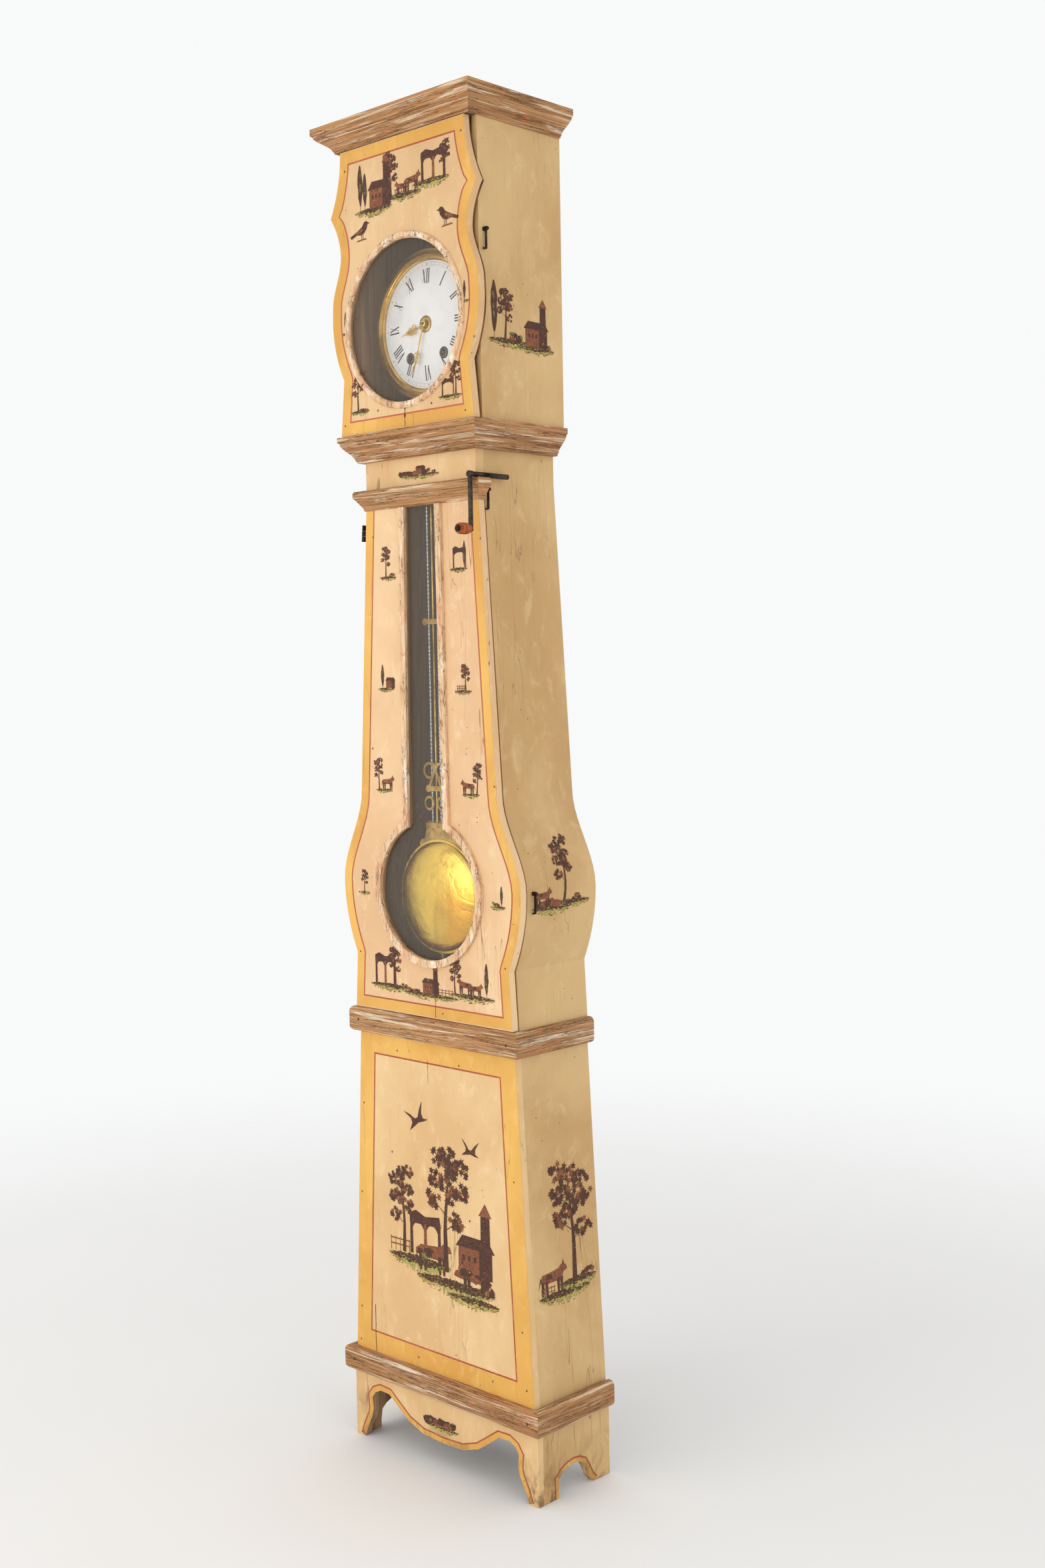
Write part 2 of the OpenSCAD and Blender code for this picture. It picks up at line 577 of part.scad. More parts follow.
// Wheel drawn in X and Z with a tooth pointing along the angle at
module wheel(n, m, at, width = 0.4, crossed = true) rotate(at) difference() {
    polygon([for (i = [0 : n - 1]) for (p = [[-0.29, n / 2 - 1.25], [-0.09, n / 2 + 0.7], [0.09, n / 2 + 0.7],
        [0.29, n / 2 - 1.25]]) let (a = (i + p[0] * width / 0.5) * 360 / n, r = m * p[1]) [r * cos(a), r * sin(a)]]);
    if (crossed) for (a = [45 : 90 : 315]) rotate(a) translate([m * n * 0.24, 0]) circle(m * n * 0.115);
}
module gear(n, m, c, at, y, t = wheel_t, crossed = true)
    translate([c[0], 0, c[1]]) slab(y, y + t) wheel(n, m, at, crossed = crossed);
module arbor(c, y0, y1, r = arbor_r) rod_y(r, c[0], c[1], y0, y1);
cage_back = cage_y + cage_d;
bar_t = 5;
pivot_y0 = cage_y + gap;
pivot_y1 = cage_back - gap;
drum_y0 = drum_y - drum_l / 2;
great_y = drum_y0 - wheel_t - 3;
mid_wheel_y = great_y - 9;
centre_wheel_y = great_y + 8;
third_wheel_y = centre_wheel_y + 24;

module movement_cage() color(iron) {
    for (z = [cage_z, cage_top - plate_t]) difference() {
        translate([-cage_hw, cage_y, z]) cube([2 * cage_hw, cage_d, plate_t]);
        if (z == cage_z) for (s = [-1, 1])
            translate([s * rope_x, drum_y, z - 1]) cylinder(r = 2.4 * rope_r, h = 9);
        else translate([-30, cage_y + 25, z - 1]) cube([60, 45, plate_t + 2]);
    }
    for (x = [-cage_hw, cage_hw - 9]) for (y = [cage_y, cage_back - 9])
        translate([x, y, cage_z + plate_t]) cube([9, 9, cage_h - 2 * plate_t]);
}
module arbor_holes(r) {
    for (c = [drum_at, [-drum_at[0], drum_at[1]], centre_at, mid_at, third_at, escape_at])
        rod_y(r + fit, c[0], c[1], cage_y - 1, cage_back + 1);
}
module arbor_bars() color(iron) difference() {
    for (y = [cage_y, cage_back - bar_t]) {
        for (x = [-wind_x - 8, wind_x - 8]) translate([x, y, cage_z + plate_t]) cube([16, bar_t, cage_h - 2 * plate_t]);
        translate([-10, y, cage_z + plate_t]) cube([34, bar_t, cage_h - 2 * plate_t]);
    }
    arbor_holes(arbor_r);
    for (s = [-1, 1]) rod_y(4 + fit, s * drum_at[0], drum_at[1], cage_y - 1, cage_y + bar_t + 1);
    rod_y(arbor_r + fit, motion_at[0], motion_at[1], cage_y - 1, cage_y + bar_t + 1);
}

// Dial
module dial_enamel() color("white") difference() {
    translate([0, dial_y, dial_z]) rotate([90, 0, 0]) rotate_extrude($fn = 96)
        polygon([[5.5, -2], [dial_r, -2], [dial_r, -0.5], [dial_r * 0.7, 3], [dial_r * 0.4, 5], [5.5, 5.6],
            [5.5, 2]]);
    for (s = [-1, 1]) rod_y(7, s * drum_at[0], drum_at[1], dial_y - 9, dial_y + 9);
}
module dial_surround() color(brass) translate([0, dial_y, dial_z]) rotate([90, 0, 0])
    rotate_extrude($fn = 96) polygon([[dial_r + 0.4, -4], [brass_r, -4], [brass_r, 2], [brass_r - 3, 4],
        [brass_r - 7, 4], [brass_r - 8, 8], [brass_r - 14, 9], [brass_r - 16, 5], [dial_r + 2, 5],
        [dial_r + 0.4, 3.5]]);
post_z = brass_r - 14;
post_w = 8;
rod_room = 30;
module dial_feet() color(iron) for (z = [dial_z - post_z, dial_z + post_z]) {
    difference() {
        slab(dial_y + 4, dial_y + 6) translate([-cage_hw, z - 5]) square([2 * cage_hw, 10]);
        translate([-rod_room, dial_y, z - 8]) cube([2 * rod_room, 12, 16]);
    }
    for (x = [-cage_hw, cage_hw - post_w]) slab(dial_y + 6, cage_y) translate([x, z - 5]) square([post_w, 10]);
}

// Hands and motion work, carried on the centre arbor in front of the cage
function hand_angle(minutes, turns) = 90 - 360 * minutes / turns;
minute_at = hand_angle(33, 60);
hour_at = hand_angle(8 * 60 + 33, 720);
hub_y = dial_y - 5.6;
hour_hand_y = hub_y - 3.4;
minute_hand_y = hour_hand_y - 3;
module minute_arbor() color(brass) {
    arbor(centre_at, minute_hand_y - 4, pivot_y1);
    gear(n_centre, mod_mid, centre_at, toward(centre_at, third_at), centre_wheel_y);
    gear(n_pin, mod_low, centre_at, toward(centre_at, mid_at) + 180 / n_pin, mid_wheel_y - 1, wheel_t + 2, false);
    gear(n_cannon, mod_cannon, centre_at, toward(centre_at, motion_at), cage_y - 5, 3.6, false);
}
hub_r = 3.4;
module minute_hand() color(brass) translate([0, 0, dial_z]) difference() {
    slab(minute_hand_y, minute_hand_y + 1.2) rotate(minute_at) hand_shape(dial_r * 0.83, 5);
    rod_y(arbor_r - eps, 0, 0, minute_hand_y - 1, minute_hand_y + 3);
}
module hand_shape(long, wide) difference() {
    union() {
        circle(6.5);
        polygon([[0, -1.6], [long * 0.45, -1.2], [long * 0.78, -0.9], [long, -0.3], [long, 0.3],
            [long * 0.78, 0.9], [long * 0.45, 1.2], [0, 1.6]]);
        for (s = [-1, 1]) {
            translate([long * 0.5, s * wide * 0.55]) circle(wide * 0.62);
            translate([long * 0.62, s * wide * 0.42]) circle(wide * 0.5);
        }
        translate([long * 0.72, 0]) circle(wide * 0.7);
    }
    for (s = [-1, 1]) translate([long * 0.5, s * wide * 0.6]) circle(wide * 0.3);
}
module hour_wheel() color(brass) difference() {
    union() {
        arbor(centre_at, hour_hand_y - 1, cage_y - 9, hub_r);
        gear(n_hour, mod_hour, centre_at, toward(centre_at, motion_at), cage_y - 9, 1.8);
    }
    arbor(centre_at, dial_y - 20, cage_y, arbor_r + fit);
}
module hour_hand() color(brass) translate([0, 0, dial_z]) difference() {
    slab(hour_hand_y, hour_hand_y + 1.2) rotate(hour_at) hand_shape(dial_r * 0.56, 6.5);
    rod_y(hub_r - eps, 0, 0, hour_hand_y - 1, hour_hand_y + 3);
}
module minute_wheel() color(brass) {
    arbor(motion_at, cage_y - 9.5, cage_y + bar_t);
    gear(n_motion, mod_cannon, motion_at, toward(motion_at, centre_at) + 180 / n_motion, cage_y - 5, 3.6);
    gear(n_cannon, mod_hour, motion_at, toward(motion_at, centre_at) + 180 / n_cannon, cage_y - 9.5, 2.8, false);
}

// Going and striking trains
module drum(s) {
    c = [s * drum_at[0], drum_at[1]];
    arbor(c, pivot_y0 - 3, drum_y0 - 2, 4);
    arbor(c, drum_y0 - 2, pivot_y1);
    rod_y(drum_r, c[0], c[1], drum_y0, drum_y0 + drum_l);
    for (y = [drum_y0, drum_y0 + drum_l - 2]) rod_y(drum_r + 4, c[0], c[1], y, y + 2);
    slab(dial_y - 6, pivot_y0 - 2) translate(c) rotate(45) circle(2.9, $fn = 4);
}
module great_wheel(s, at) difference() {
    gear(n_great, mod_low, [s * drum_at[0], drum_at[1]], at, great_y);
    rod_y(arbor_r + 2 + fit, s * drum_at[0], drum_at[1], great_y - 1, great_y + wheel_t + 1);
}
module going_drum() color([0.55, 0.4, 0.25]) drum(1);
module strike_drum() color([0.55, 0.4, 0.25]) drum(-1);
module going_great_wheel() color(brass) great_wheel(1, toward(drum_at, mid_at));
module going_intermediate_wheel() color(brass) {
    arbor(mid_at, pivot_y0, pivot_y1);
    gear(n_leaf, mod_low, mid_at, toward(mid_at, drum_at) + 180 / n_leaf, great_y - 1, wheel_t + 2, false);
    gear(n_mid, mod_low, mid_at, toward(mid_at, centre_at), mid_wheel_y);
}
escape_wheel_y = third_wheel_y + 10;
n_escape = 30;
escape_r = 24;
module third_wheel() color(brass) {
    arbor(third_at, pivot_y0, pivot_y1);
    gear(n_leaf, mod_mid, third_at, toward(third_at, centre_at) + 180 / n_leaf, centre_wheel_y - 1, wheel_t + 2, false);
    gear(n_third, mod_top, third_at, toward(third_at, escape_at), third_wheel_y);
}
module escape_wheel() color(brass) {
    arbor(escape_at, pivot_y0, pivot_y1);
    gear(n_leaf, mod_top, escape_at, toward(escape_at, third_at) + 180 / n_leaf, third_wheel_y - 1, wheel_t + 2, false);
    translate([0, 0, escape_at[1]]) slab(escape_wheel_y, escape_wheel_y + 1.6) difference() {
        polygon([for (i = [0 : n_escape - 1]) for (p = [[0, escape_r - 4], [0.12, escape_r], [0.3, escape_r - 4]])
            let (a = (i + p[0]) * 360 / n_escape) [p[1] * cos(a), p[1] * sin(a)]]);
        for (a = [45 : 90 : 315]) rotate(a) translate([11, 0]) circle(5.5);
    }
}

// Anchor with its crutch, hung on the line of the suspension
eye_r = 4.2;
module top_brackets() color(iron) difference() {
    union() {
        for (y = [cage_y + 2, cage_back - 8]) {
            translate([-8, y, cage_top]) cube([16, 6, sus_z - cage_top + 8]);
            translate([-20, y, cage_top]) cube([40, 6, 4]);
        }
        translate([-8, pend_y + 2.5, sus_z + 8]) cube([16, cage_y + 5.5 - pend_y, 4]);
        translate([-8, pend_y + 2.5, sus_z - 6]) cube([16, 3, 17]);
        rod_y(eye_r - fit, 0, sus_z, pend_y - 3, pend_y + 3);
        rod_y(3, -cage_hw + 14, cage_top + 3, cage_y + 30, cage_back - 10);
        translate([-6, cage_y + cage_d - 14, cage_top]) cube([12, 6, bell_z - cage_top - 2]);
        translate([-6, bell_y - 4, bell_z - 6]) cube([12, cage_y + cage_d - 8 - bell_y + 4, 4]);
        translate([0, bell_y, bell_z - 6]) cylinder(r = 3, h = bell_h + 14);
        for (y = [bell_y - 14, bell_y + 8]) translate([bell_r + 8, y, cage_top]) cube([10, 6, 14]);
    }
    rod_y(arbor_r + fit, 0, sus_z, cage_y - 9, cage_back + 1);
    rod_y(arbor_r + fit, bell_r + 13, cage_top + 8, bell_y - 20, bell_y + 20);
}
arm_z = sus_z - escape_at[1] - 32;
crutch_z = 38;
module anchor_crutch() color(steel) {
    arbor([0, sus_z], cage_y - 6, cage_back - 3);
    slab(escape_wheel_y - 1, escape_wheel_y + 3) translate([0, sus_z]) {
        circle(6);
        for (s = [-1, 1]) polygon([[s * 2, -4], [s * 6, 0], [s * 26, -arm_z], [s * 22, -arm_z - 11],
            [s * 20, 2 - arm_z]]);
    }
    translate([-2, cage_y - 6, sus_z - crutch_z - 2]) cube([4, 3, crutch_z + 2]);
    rod_y(1.8, 0, sus_z - crutch_z, pend_y - 4, cage_y - 4);
}
bell_z = cage_top + 42;
bell_y = cage_y + 52;
bell_h = 34;
module bell() color([0.75, 0.6, 0.35]) translate([0, bell_y, bell_z]) difference() {
    rotate_extrude($fn = 64) polygon([[3.2, bell_h - 4], [bell_r * 0.5, bell_h - 5], [bell_r * 0.8, bell_h * 0.5],
        [bell_r * 0.93, 6], [bell_r - 3, 0], [bell_r, 0], [bell_r * 0.97, 8], [bell_r * 0.84, bell_h * 0.6],
        [bell_r * 0.55, bell_h - 1], [3.2, bell_h]]);
}
module bell_hammer() color(iron) {
    rod_y(arbor_r, bell_r + 13, cage_top + 8, bell_y - 15, bell_y + 15);
    slab(bell_y - 2, bell_y + 2) translate([bell_r + 11.5, cage_top + 6]) square([3, bell_z - cage_top - 2]);
    translate([bell_r + 1.5, bell_y, bell_z + 2]) rotate([0, 90, 0]) cylinder(r = 5, h = 18);
}

// Pendulum
stirrup_x = 20;
stir_top = sus_z - 32;
stir_low = cage_z + 12;
module pendulum_rods() color(steel) {
    for (s = [-1, 1]) {
        translate([s * stirrup_x, pend_y, stir_low]) cylinder(r = rod_r, h = stir_top - stir_low);
        translate([s * rod_x, rods_y, brace_z[2] - 3 + gap]) cylinder(r = rod_r, h = stir_low - brace_z[2] + 5 - gap);
    }
    for (b = [[stir_low, rods_y], [stir_top, pend_y]])
        translate([-stirrup_x - 4, b[1] - 3, b[0] - 3]) difference() {
        cube([2 * stirrup_x + 8, pend_y - b[1] + 6, 6]);
        if (b[0] == stir_top) translate([stirrup_x + 4 - 2.2, -1, -3.2]) cube([4.4, 8, 5.4]);
    }
    translate([-3, pend_y - 1, stir_top]) cube([6, 2, sus_z - stir_top - 5.5]);
    translate([0, pend_y + 1, sus_z]) rotate([90, 0, 0]) difference() {
        cylinder(r = 7, h = 2);
        translate([0, 0, -1]) cylinder(r = eye_r, h = 4);
    }
}
neck_top = bob_z + bob_r + neck_rise;
brace_z = [neck_top + lyre_h + brace_pitch, neck_top + lyre_h, neck_top];
module pendulum_brasses() color(brass) {
    translate([0, rods_y, brace_z[2] - 5]) cylinder(r = rod_r, h = stir_low - brace_z[2] + 2);
    for (z = [brace_z[0], brace_z[1]]) for (y = [rods_y - rod_r - 1, rods_y + rod_r + 1]) slab(y - 1, y + 1)
        translate([0, z]) union() {
            square([2 * rod_x + 12, 9], center = true);
            for (s = [-1, 1]) translate([s * (rod_x + 7), 0]) circle(6.5);
        }
    // Lyre between the lower brace and the neck
    for (s = [-1, 1]) slab(rods_y - rod_r - 2, rods_y - rod_r) translate([0, brace_z[1] + 2]) {
        difference() { translate([s * 15, 30]) circle(15); translate([s * 15, 30]) circle(10.5); }
        polygon([[s * 2, 44], [s * 8, 44], [-s * 12, 0], [-s * 18, 0]]);
        difference() { translate([s * 16, -28]) circle(13); translate([s * 16, -28]) circle(8.5); }
    }
    // Neck plate behind the bob, with a lobe at each side of the bob's top
    slab(bob_y, bob_y + 2) {
        polygon([[-30, brace_z[2]], [-34, brace_z[2] - 12], [-44, bob_z + bob_r - 14], [44, bob_z + bob_r - 14],
            [34, brace_z[2] - 12], [30, brace_z[2]]]);
        for (s = [-1, 1]) translate([s * 44, bob_z + bob_r - 10]) circle(9);
    }
    translate([-28, rods_y - rod_r, brace_z[2] - 12]) cube([56, bob_y + 2 - rods_y + rod_r, 9]);
    translate([-4, bob_y, bob_z - bob_r - 6]) cube([8, 3, brace_z[2] - bob_z + bob_r]);
    translate([0, bob_y + 1.5, bob_z - bob_r - 34]) cylinder(r = 2, h = 30);
}
module pendulum_bob() color(brass) translate([0, bob_y - gap, bob_z]) rotate([90, 0, 0])
    rotate_extrude($fn = 96) polygon(concat([[0, 0], [bob_r, 0], [bob_r, 1.6]],
        [for (i = [0 : 12]) let (t = i / 12) [(bob_r - 4) * cos(90 * t), 1.6 + bob_h * sin(90 * t)]]));
module rating_nut() color(steel) translate([0, bob_y + 1.5, bob_z - bob_r - 20]) difference() {
    cylinder(r = 8, h = 9, $fn = 12);
    translate([0, 0, -1]) cylinder(r = 2 + fit, h = 11);
}

// Weights and their ropes
module weight(s) translate([s * rope_x, drum_y, weight_z - 24 - weight_h]) {
    rotate_extrude() polygon([[0, 0], [weight_r - 2, 0], [weight_r, 3], [weight_r, weight_h - 6],
        [weight_r - 6, weight_h], [0, weight_h]]);
    cylinder(r = 3, h = weight_h + 12);
    translate([0, 2.5, weight_h + 16]) rotate([90, 0, 0]) difference() {
        cylinder(r = 8, h = 5);
        translate([0, 0, -1]) cylinder(r = 4.5, h = 7);
    }
}
module going_weight() color(iron) weight(1);
module strike_weight() color(iron) weight(-1);
module rope(s) translate([s * rope_x, drum_y, weight_z]) cylinder(r = rope_r, h = drum_at[1] - weight_z);
module going_rope() color([0.6, 0.5, 0.35]) rope(1);
module strike_rope() color([0.6, 0.5, 0.35]) rope(-1);

base_front_board();
base_side_boards();
lower_belt();
pedestal_front_board();
pedestal_side_boards();
middle_belt();
trunk_side_boards();
frieze_board();
waist_cornice();
hood_side_boards();
roof_board();
top_cornice();
back_board();
seat_board();
case_hinge_leaves();
hook_pins();
movement_cage();
arbor_bars();
dial_enamel();
dial_surround();
dial_feet();
bell();
top_brackets();
hood_door_board();
hood_door_strip();
hood_ring_mould();
hood_glass();
hood_door_leaves();
hood_hook();
trunk_door_board();
trunk_door_strip();
trunk_window_mould();
trunk_door_cornice();
trunk_glass();
trunk_door_leaves();
trunk_hook_upper();
trunk_hook_lower();
crank_key();
crank_handle();
minute_arbor();
minute_hand();
hour_wheel();
hour_hand();
minute_wheel();
going_drum();
going_great_wheel();
going_intermediate_wheel();
third_wheel();
escape_wheel();
anchor_crutch();
strike_drum();
pendulum_rods();
pendulum_brasses();
pendulum_bob();
rating_nut();
going_weight();
strike_weight();
going_rope();
strike_rope();
bell_hammer();
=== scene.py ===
import math
import random

import bpy
from mathutils import Matrix, Vector


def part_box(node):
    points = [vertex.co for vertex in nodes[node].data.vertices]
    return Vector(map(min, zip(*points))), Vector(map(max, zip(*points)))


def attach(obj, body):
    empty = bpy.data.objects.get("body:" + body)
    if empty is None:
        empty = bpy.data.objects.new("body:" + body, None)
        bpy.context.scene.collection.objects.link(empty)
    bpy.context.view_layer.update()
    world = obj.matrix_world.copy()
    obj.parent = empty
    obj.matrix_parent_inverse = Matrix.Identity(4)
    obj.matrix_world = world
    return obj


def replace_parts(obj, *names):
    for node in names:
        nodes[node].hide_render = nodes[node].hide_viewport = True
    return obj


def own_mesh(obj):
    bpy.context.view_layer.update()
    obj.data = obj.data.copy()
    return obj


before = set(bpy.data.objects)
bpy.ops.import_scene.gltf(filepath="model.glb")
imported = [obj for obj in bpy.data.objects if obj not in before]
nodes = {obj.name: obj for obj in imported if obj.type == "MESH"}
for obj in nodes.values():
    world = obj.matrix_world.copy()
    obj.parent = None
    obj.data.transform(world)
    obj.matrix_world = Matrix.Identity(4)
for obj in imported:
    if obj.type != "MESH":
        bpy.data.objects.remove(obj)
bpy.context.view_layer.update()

mm = 0.001


def linked(name, data):
    obj = bpy.data.objects.new(name, data)
    bpy.context.scene.collection.objects.link(obj)
    return obj


# Camera at the photograph's view
AZ, EL, ROLL = math.radians(43.7183), math.radians(3.4653), math.radians(-1.018)
CAMERA_AT = (2.3053, -2.2302, 1.4278)
back = Vector((math.sin(AZ) * math.cos(EL), -math.cos(AZ) * math.cos(EL), math.sin(EL)))
right = (-back).cross(Vector((0, 0, 1))).normalized()
up = right.cross(-back)
cam_x = right * math.cos(ROLL) + up * math.sin(ROLL)
cam_y = up * math.cos(ROLL) - right * math.sin(ROLL)
cam_data = bpy.data.cameras.new("camera")
cam_data.sensor_width = 36
cam_data.lens = 41.22
cam_data.clip_end = 60
camera = linked("camera", cam_data)
place = Matrix((cam_x, cam_y, back)).transposed().to_4x4()
place.translation = Vector(CAMERA_AT)
camera.matrix_world = place
bpy.context.scene.camera = camera
bpy.context.scene.view_settings.view_transform = "Standard"


# Node graphs
def srgb(r, g, b):
    """A colour as seen on a screen, from 0 to 255, as the linear values of a shader."""
    shares = (c / 255 for c in (r, g, b))
    return tuple(c / 12.92 if c < 0.0404 else ((c + 0.055) / 1.055) ** 2.4 for c in shares) + (1,)


# Colour sockets of the mix node, which has others for its other kinds of data
MIX_A, MIX_B, MIX_OUT = 6, 7, 2


def set_inputs(node, values):
    for key, value in values.items():
        node.inputs[key].default_value = value


class Look:
    """A material under construction; its helpers return sockets."""

    def __init__(self, name, rough=0.6, metal=0.0, coat=0.0, specular=0.5):
        self.mat = bpy.data.materials.new(name)
        self.mat.use_nodes = True
        self.tree = self.mat.node_tree
        self.bsdf = self.tree.nodes["Principled BSDF"]
        set_inputs(self.bsdf, {"Roughness": rough, "Metallic": metal, "Coat Weight": coat,
                               "Coat Roughness": 0.25, "Specular IOR Level": specular})
        coords = self.add("ShaderNodeTexCoord")
        self.place, self.normal = coords.outputs["Object"], coords.outputs["Normal"]

    def add(self, kind, **values):
        node = self.tree.nodes.new(kind)
        for key, value in values.items():
            setattr(node, key, value)
        return node

    def link(self, value, socket):
        if isinstance(value, bpy.types.NodeSocket):
            self.tree.links.new(value, socket)
        else:
            socket.default_value = value

    def stretched(self, scale, shift):
        """The object's own coordinates, scaled and shifted; a single number counts for all three axes."""
        node = self.add("ShaderNodeMapping")
        self.link(self.place, node.inputs["Vector"])
        scale, shift = (v if isinstance(v, tuple) else (v,) * 3 for v in (scale, shift))
        set_inputs(node, {"Scale": scale, "Location": shift})
        return node.outputs["Vector"]

    def noise(self, scale, detail, rough, twist=0.0, shift=0):
        node = self.add("ShaderNodeTexNoise")
        self.link(self.stretched(scale, shift), node.inputs["Vector"])
        set_inputs(node, {"Scale": 1, "Detail": detail, "Roughness": rough, "Distortion": twist})
        return node.outputs["Fac"]

    def cells(self, scale, shift):
        node = self.add("ShaderNodeTexVoronoi")
        self.link(self.stretched(scale, shift), node.inputs["Vector"])
        set_inputs(node, {"Scale": 1})
        return node.outputs["Distance"]

    def step(self, value, low, high, a=0.0, b=1.0):
        node = self.add("ShaderNodeMapRange", interpolation_type="SMOOTHSTEP")
        self.link(value, node.inputs["Value"])
        set_inputs(node, {"From Min": low, "From Max": high, "To Min": a, "To Max": b})
        return node.outputs["Result"]

    def calc(self, operation, a, b=0.0):
        node = self.add("ShaderNodeMath", operation=operation)
        self.link(a, node.inputs[0])
        self.link(b, node.inputs[1])
        return node.outputs[0]

    def plus(self, a, b):
        return self.calc("ADD", a, b)

    def minus(self, a, b):
        return self.calc("SUBTRACT", a, b)

    def times(self, a, b):
        return self.calc("MULTIPLY", a, b)

    def near(self, value, centre, width):
        """1 where a value is close to centre, falling to 0 at width."""
        away = self.calc("ABSOLUTE", self.minus(value, centre))
        return self.step(away, 0.3 * width, width, 1.0, 0.0)

    def axis(self, letter, of=None):
        node = self.add("ShaderNodeSeparateXYZ")
        self.link(of or self.place, node.inputs["Vector"])
        return node.outputs[letter]

    def mix(self, amount, a, b):
        node = self.add("ShaderNodeMix", data_type="RGBA")
        self.link(amount, node.inputs["Factor"])
        self.link(a, node.inputs[MIX_A])
        self.link(b, node.inputs[MIX_B])
        return node.outputs[MIX_OUT]

    def over(self, under, top, value, low, high, most=1.0):
        """The colour under, with top laid over it where value rises from low to high."""
        return self.mix(self.step(value, low, high, 0.0, most), under, top)

    def colour(self, value):
        self.link(value, self.bsdf.inputs["Base Color"])

    def roughness(self, value):
        self.link(value, self.bsdf.inputs["Roughness"])

    def bump(self, height, distance, strength):
        node = self.add("ShaderNodeBump")
        set_inputs(node, {"Strength": strength, "Distance": distance})
        self.link(height, node.inputs["Height"])
        self.link(node.outputs["Normal"], self.bsdf.inputs["Normal"])


GRIME = srgb(92, 62, 38)
WORM = srgb(52, 34, 22)


def aged(look, base, deep, pale, s, wear):
    """Old oil paint on boards: cloudy tone, grain, rubbed places, scratches and wormholes. s is its seed."""
    cloud = look.noise((3.2, 3.2, 2.4), 5, 0.6, 0.4, s)
    grain = look.noise((150, 150, 5), 4, 0.6, 0.2, (s + 3, s, s))
    fine = look.noise((420, 420, 26), 3, 0.6, 0.0, (s, s + 5, s))
    mottle = look.noise((34, 34, 22), 6, 0.65, 0.6, (s, s, s + 9))
    col = look.over(deep, base, cloud, 0.36, 0.66)
    col = look.over(col, pale, mottle, 0.5, 0.78, 0.55)
    col = look.over(col, deep, grain, 0.52, 0.8, 0.22 * wear)
    col = look.over(col, pale, fine, 0.6, 0.85, 0.25 * wear)
    # Fine drying cracks and long scratches
    crack = look.near(look.noise((30, 30, 1.6), 3, 0.5, 0.5, (s + 1, s, 2)), 0.5, 0.0045)
    patch = look.step(look.noise((5, 5, 3), 3, 0.5, 0, (s, 7, s)), 0.5, 0.62)
    crack = look.times(crack, patch)
    col = look.mix(look.times(crack, 0.55 * wear), col, GRIME)
    # Grime spots and wormholes
    spot = look.step(look.cells(62, (s, 2, s)), 0.05, 0.085, 1.0, 0.0)
    some = look.step(look.noise((9, 9, 7), 2, 0.5, 0, (3, s, s)), 0.56, 0.62)
    spot = look.times(spot, some)
    col = look.mix(look.times(spot, 0.9), col, WORM)
    dirt = look.noise((14, 14, 9), 7, 0.72, 1.2, (s + 8, s, 1))
    col = look.over(col, GRIME, dirt, 0.62, 0.8, 0.32 * wear)
    raised = look.plus(look.times(grain, 0.5), look.times(mottle, 0.35))
    look.bump(look.minus(raised, look.plus(look.times(crack, 0.8), spot)), 0.0009, 0.5)
    look.roughness(look.step(mottle, 0.3, 0.75, 0.42, 0.6))
    return col


def paint(name, base, deep, pale, seed=0.0, wear=1.0, reveal=None):
    """Painted board: bare brown wood on its inner faces, and in openings nearer the middle than reveal.
    Its dirt is thickest near the floor."""
    look = Look(name, specular=0.4)
    col = aged(look, srgb(*base), srgb(*deep), srgb(*pale), seed, wear)
    x, nx, ny = look.axis("X"), look.axis("X", look.normal), look.axis("Y", look.normal)
    low = look.step(look.axis("Z"), 0.0, 0.11, 0.9, 0.0)
    dirty = look.step(look.noise((26, 26, 14), 6, 0.7, 0.8, (seed, 5, 5)), 0.42, 0.62)
    col = look.mix(look.times(low, dirty), col, srgb(120, 84, 50))
    inward = look.step(look.times(x, nx), -0.05, -0.03, 1.0, 0.0)
    bare = look.calc("MAXIMUM", inward, look.step(ny, 0.4, 0.6))
    if reveal:
        edge_on = look.calc("LESS_THAN", look.calc("ABSOLUTE", ny), 0.5)
        central = look.calc("LESS_THAN", look.calc("ABSOLUTE", x), reveal * mm)
        bare = look.calc("MAXIMUM", bare, look.times(edge_on, central))
    grain = look.noise((70, 70, 3.5), 5, 0.65, 0.6, (seed, 1, 1))
    wood = look.over(srgb(124, 94, 66), srgb(178, 140, 102), grain, 0.36, 0.64)
    look.colour(look.mix(bare, col, wood))
    return look.mat


BELT_TONES = ((140, 96, 58), (184, 134, 86), (202, 116, 70), (204, 164, 116), (224, 206, 178))
RING_TONES = ((206, 160, 118), (228, 194, 154), (206, 122, 92), (238, 214, 180), (244, 228, 204))


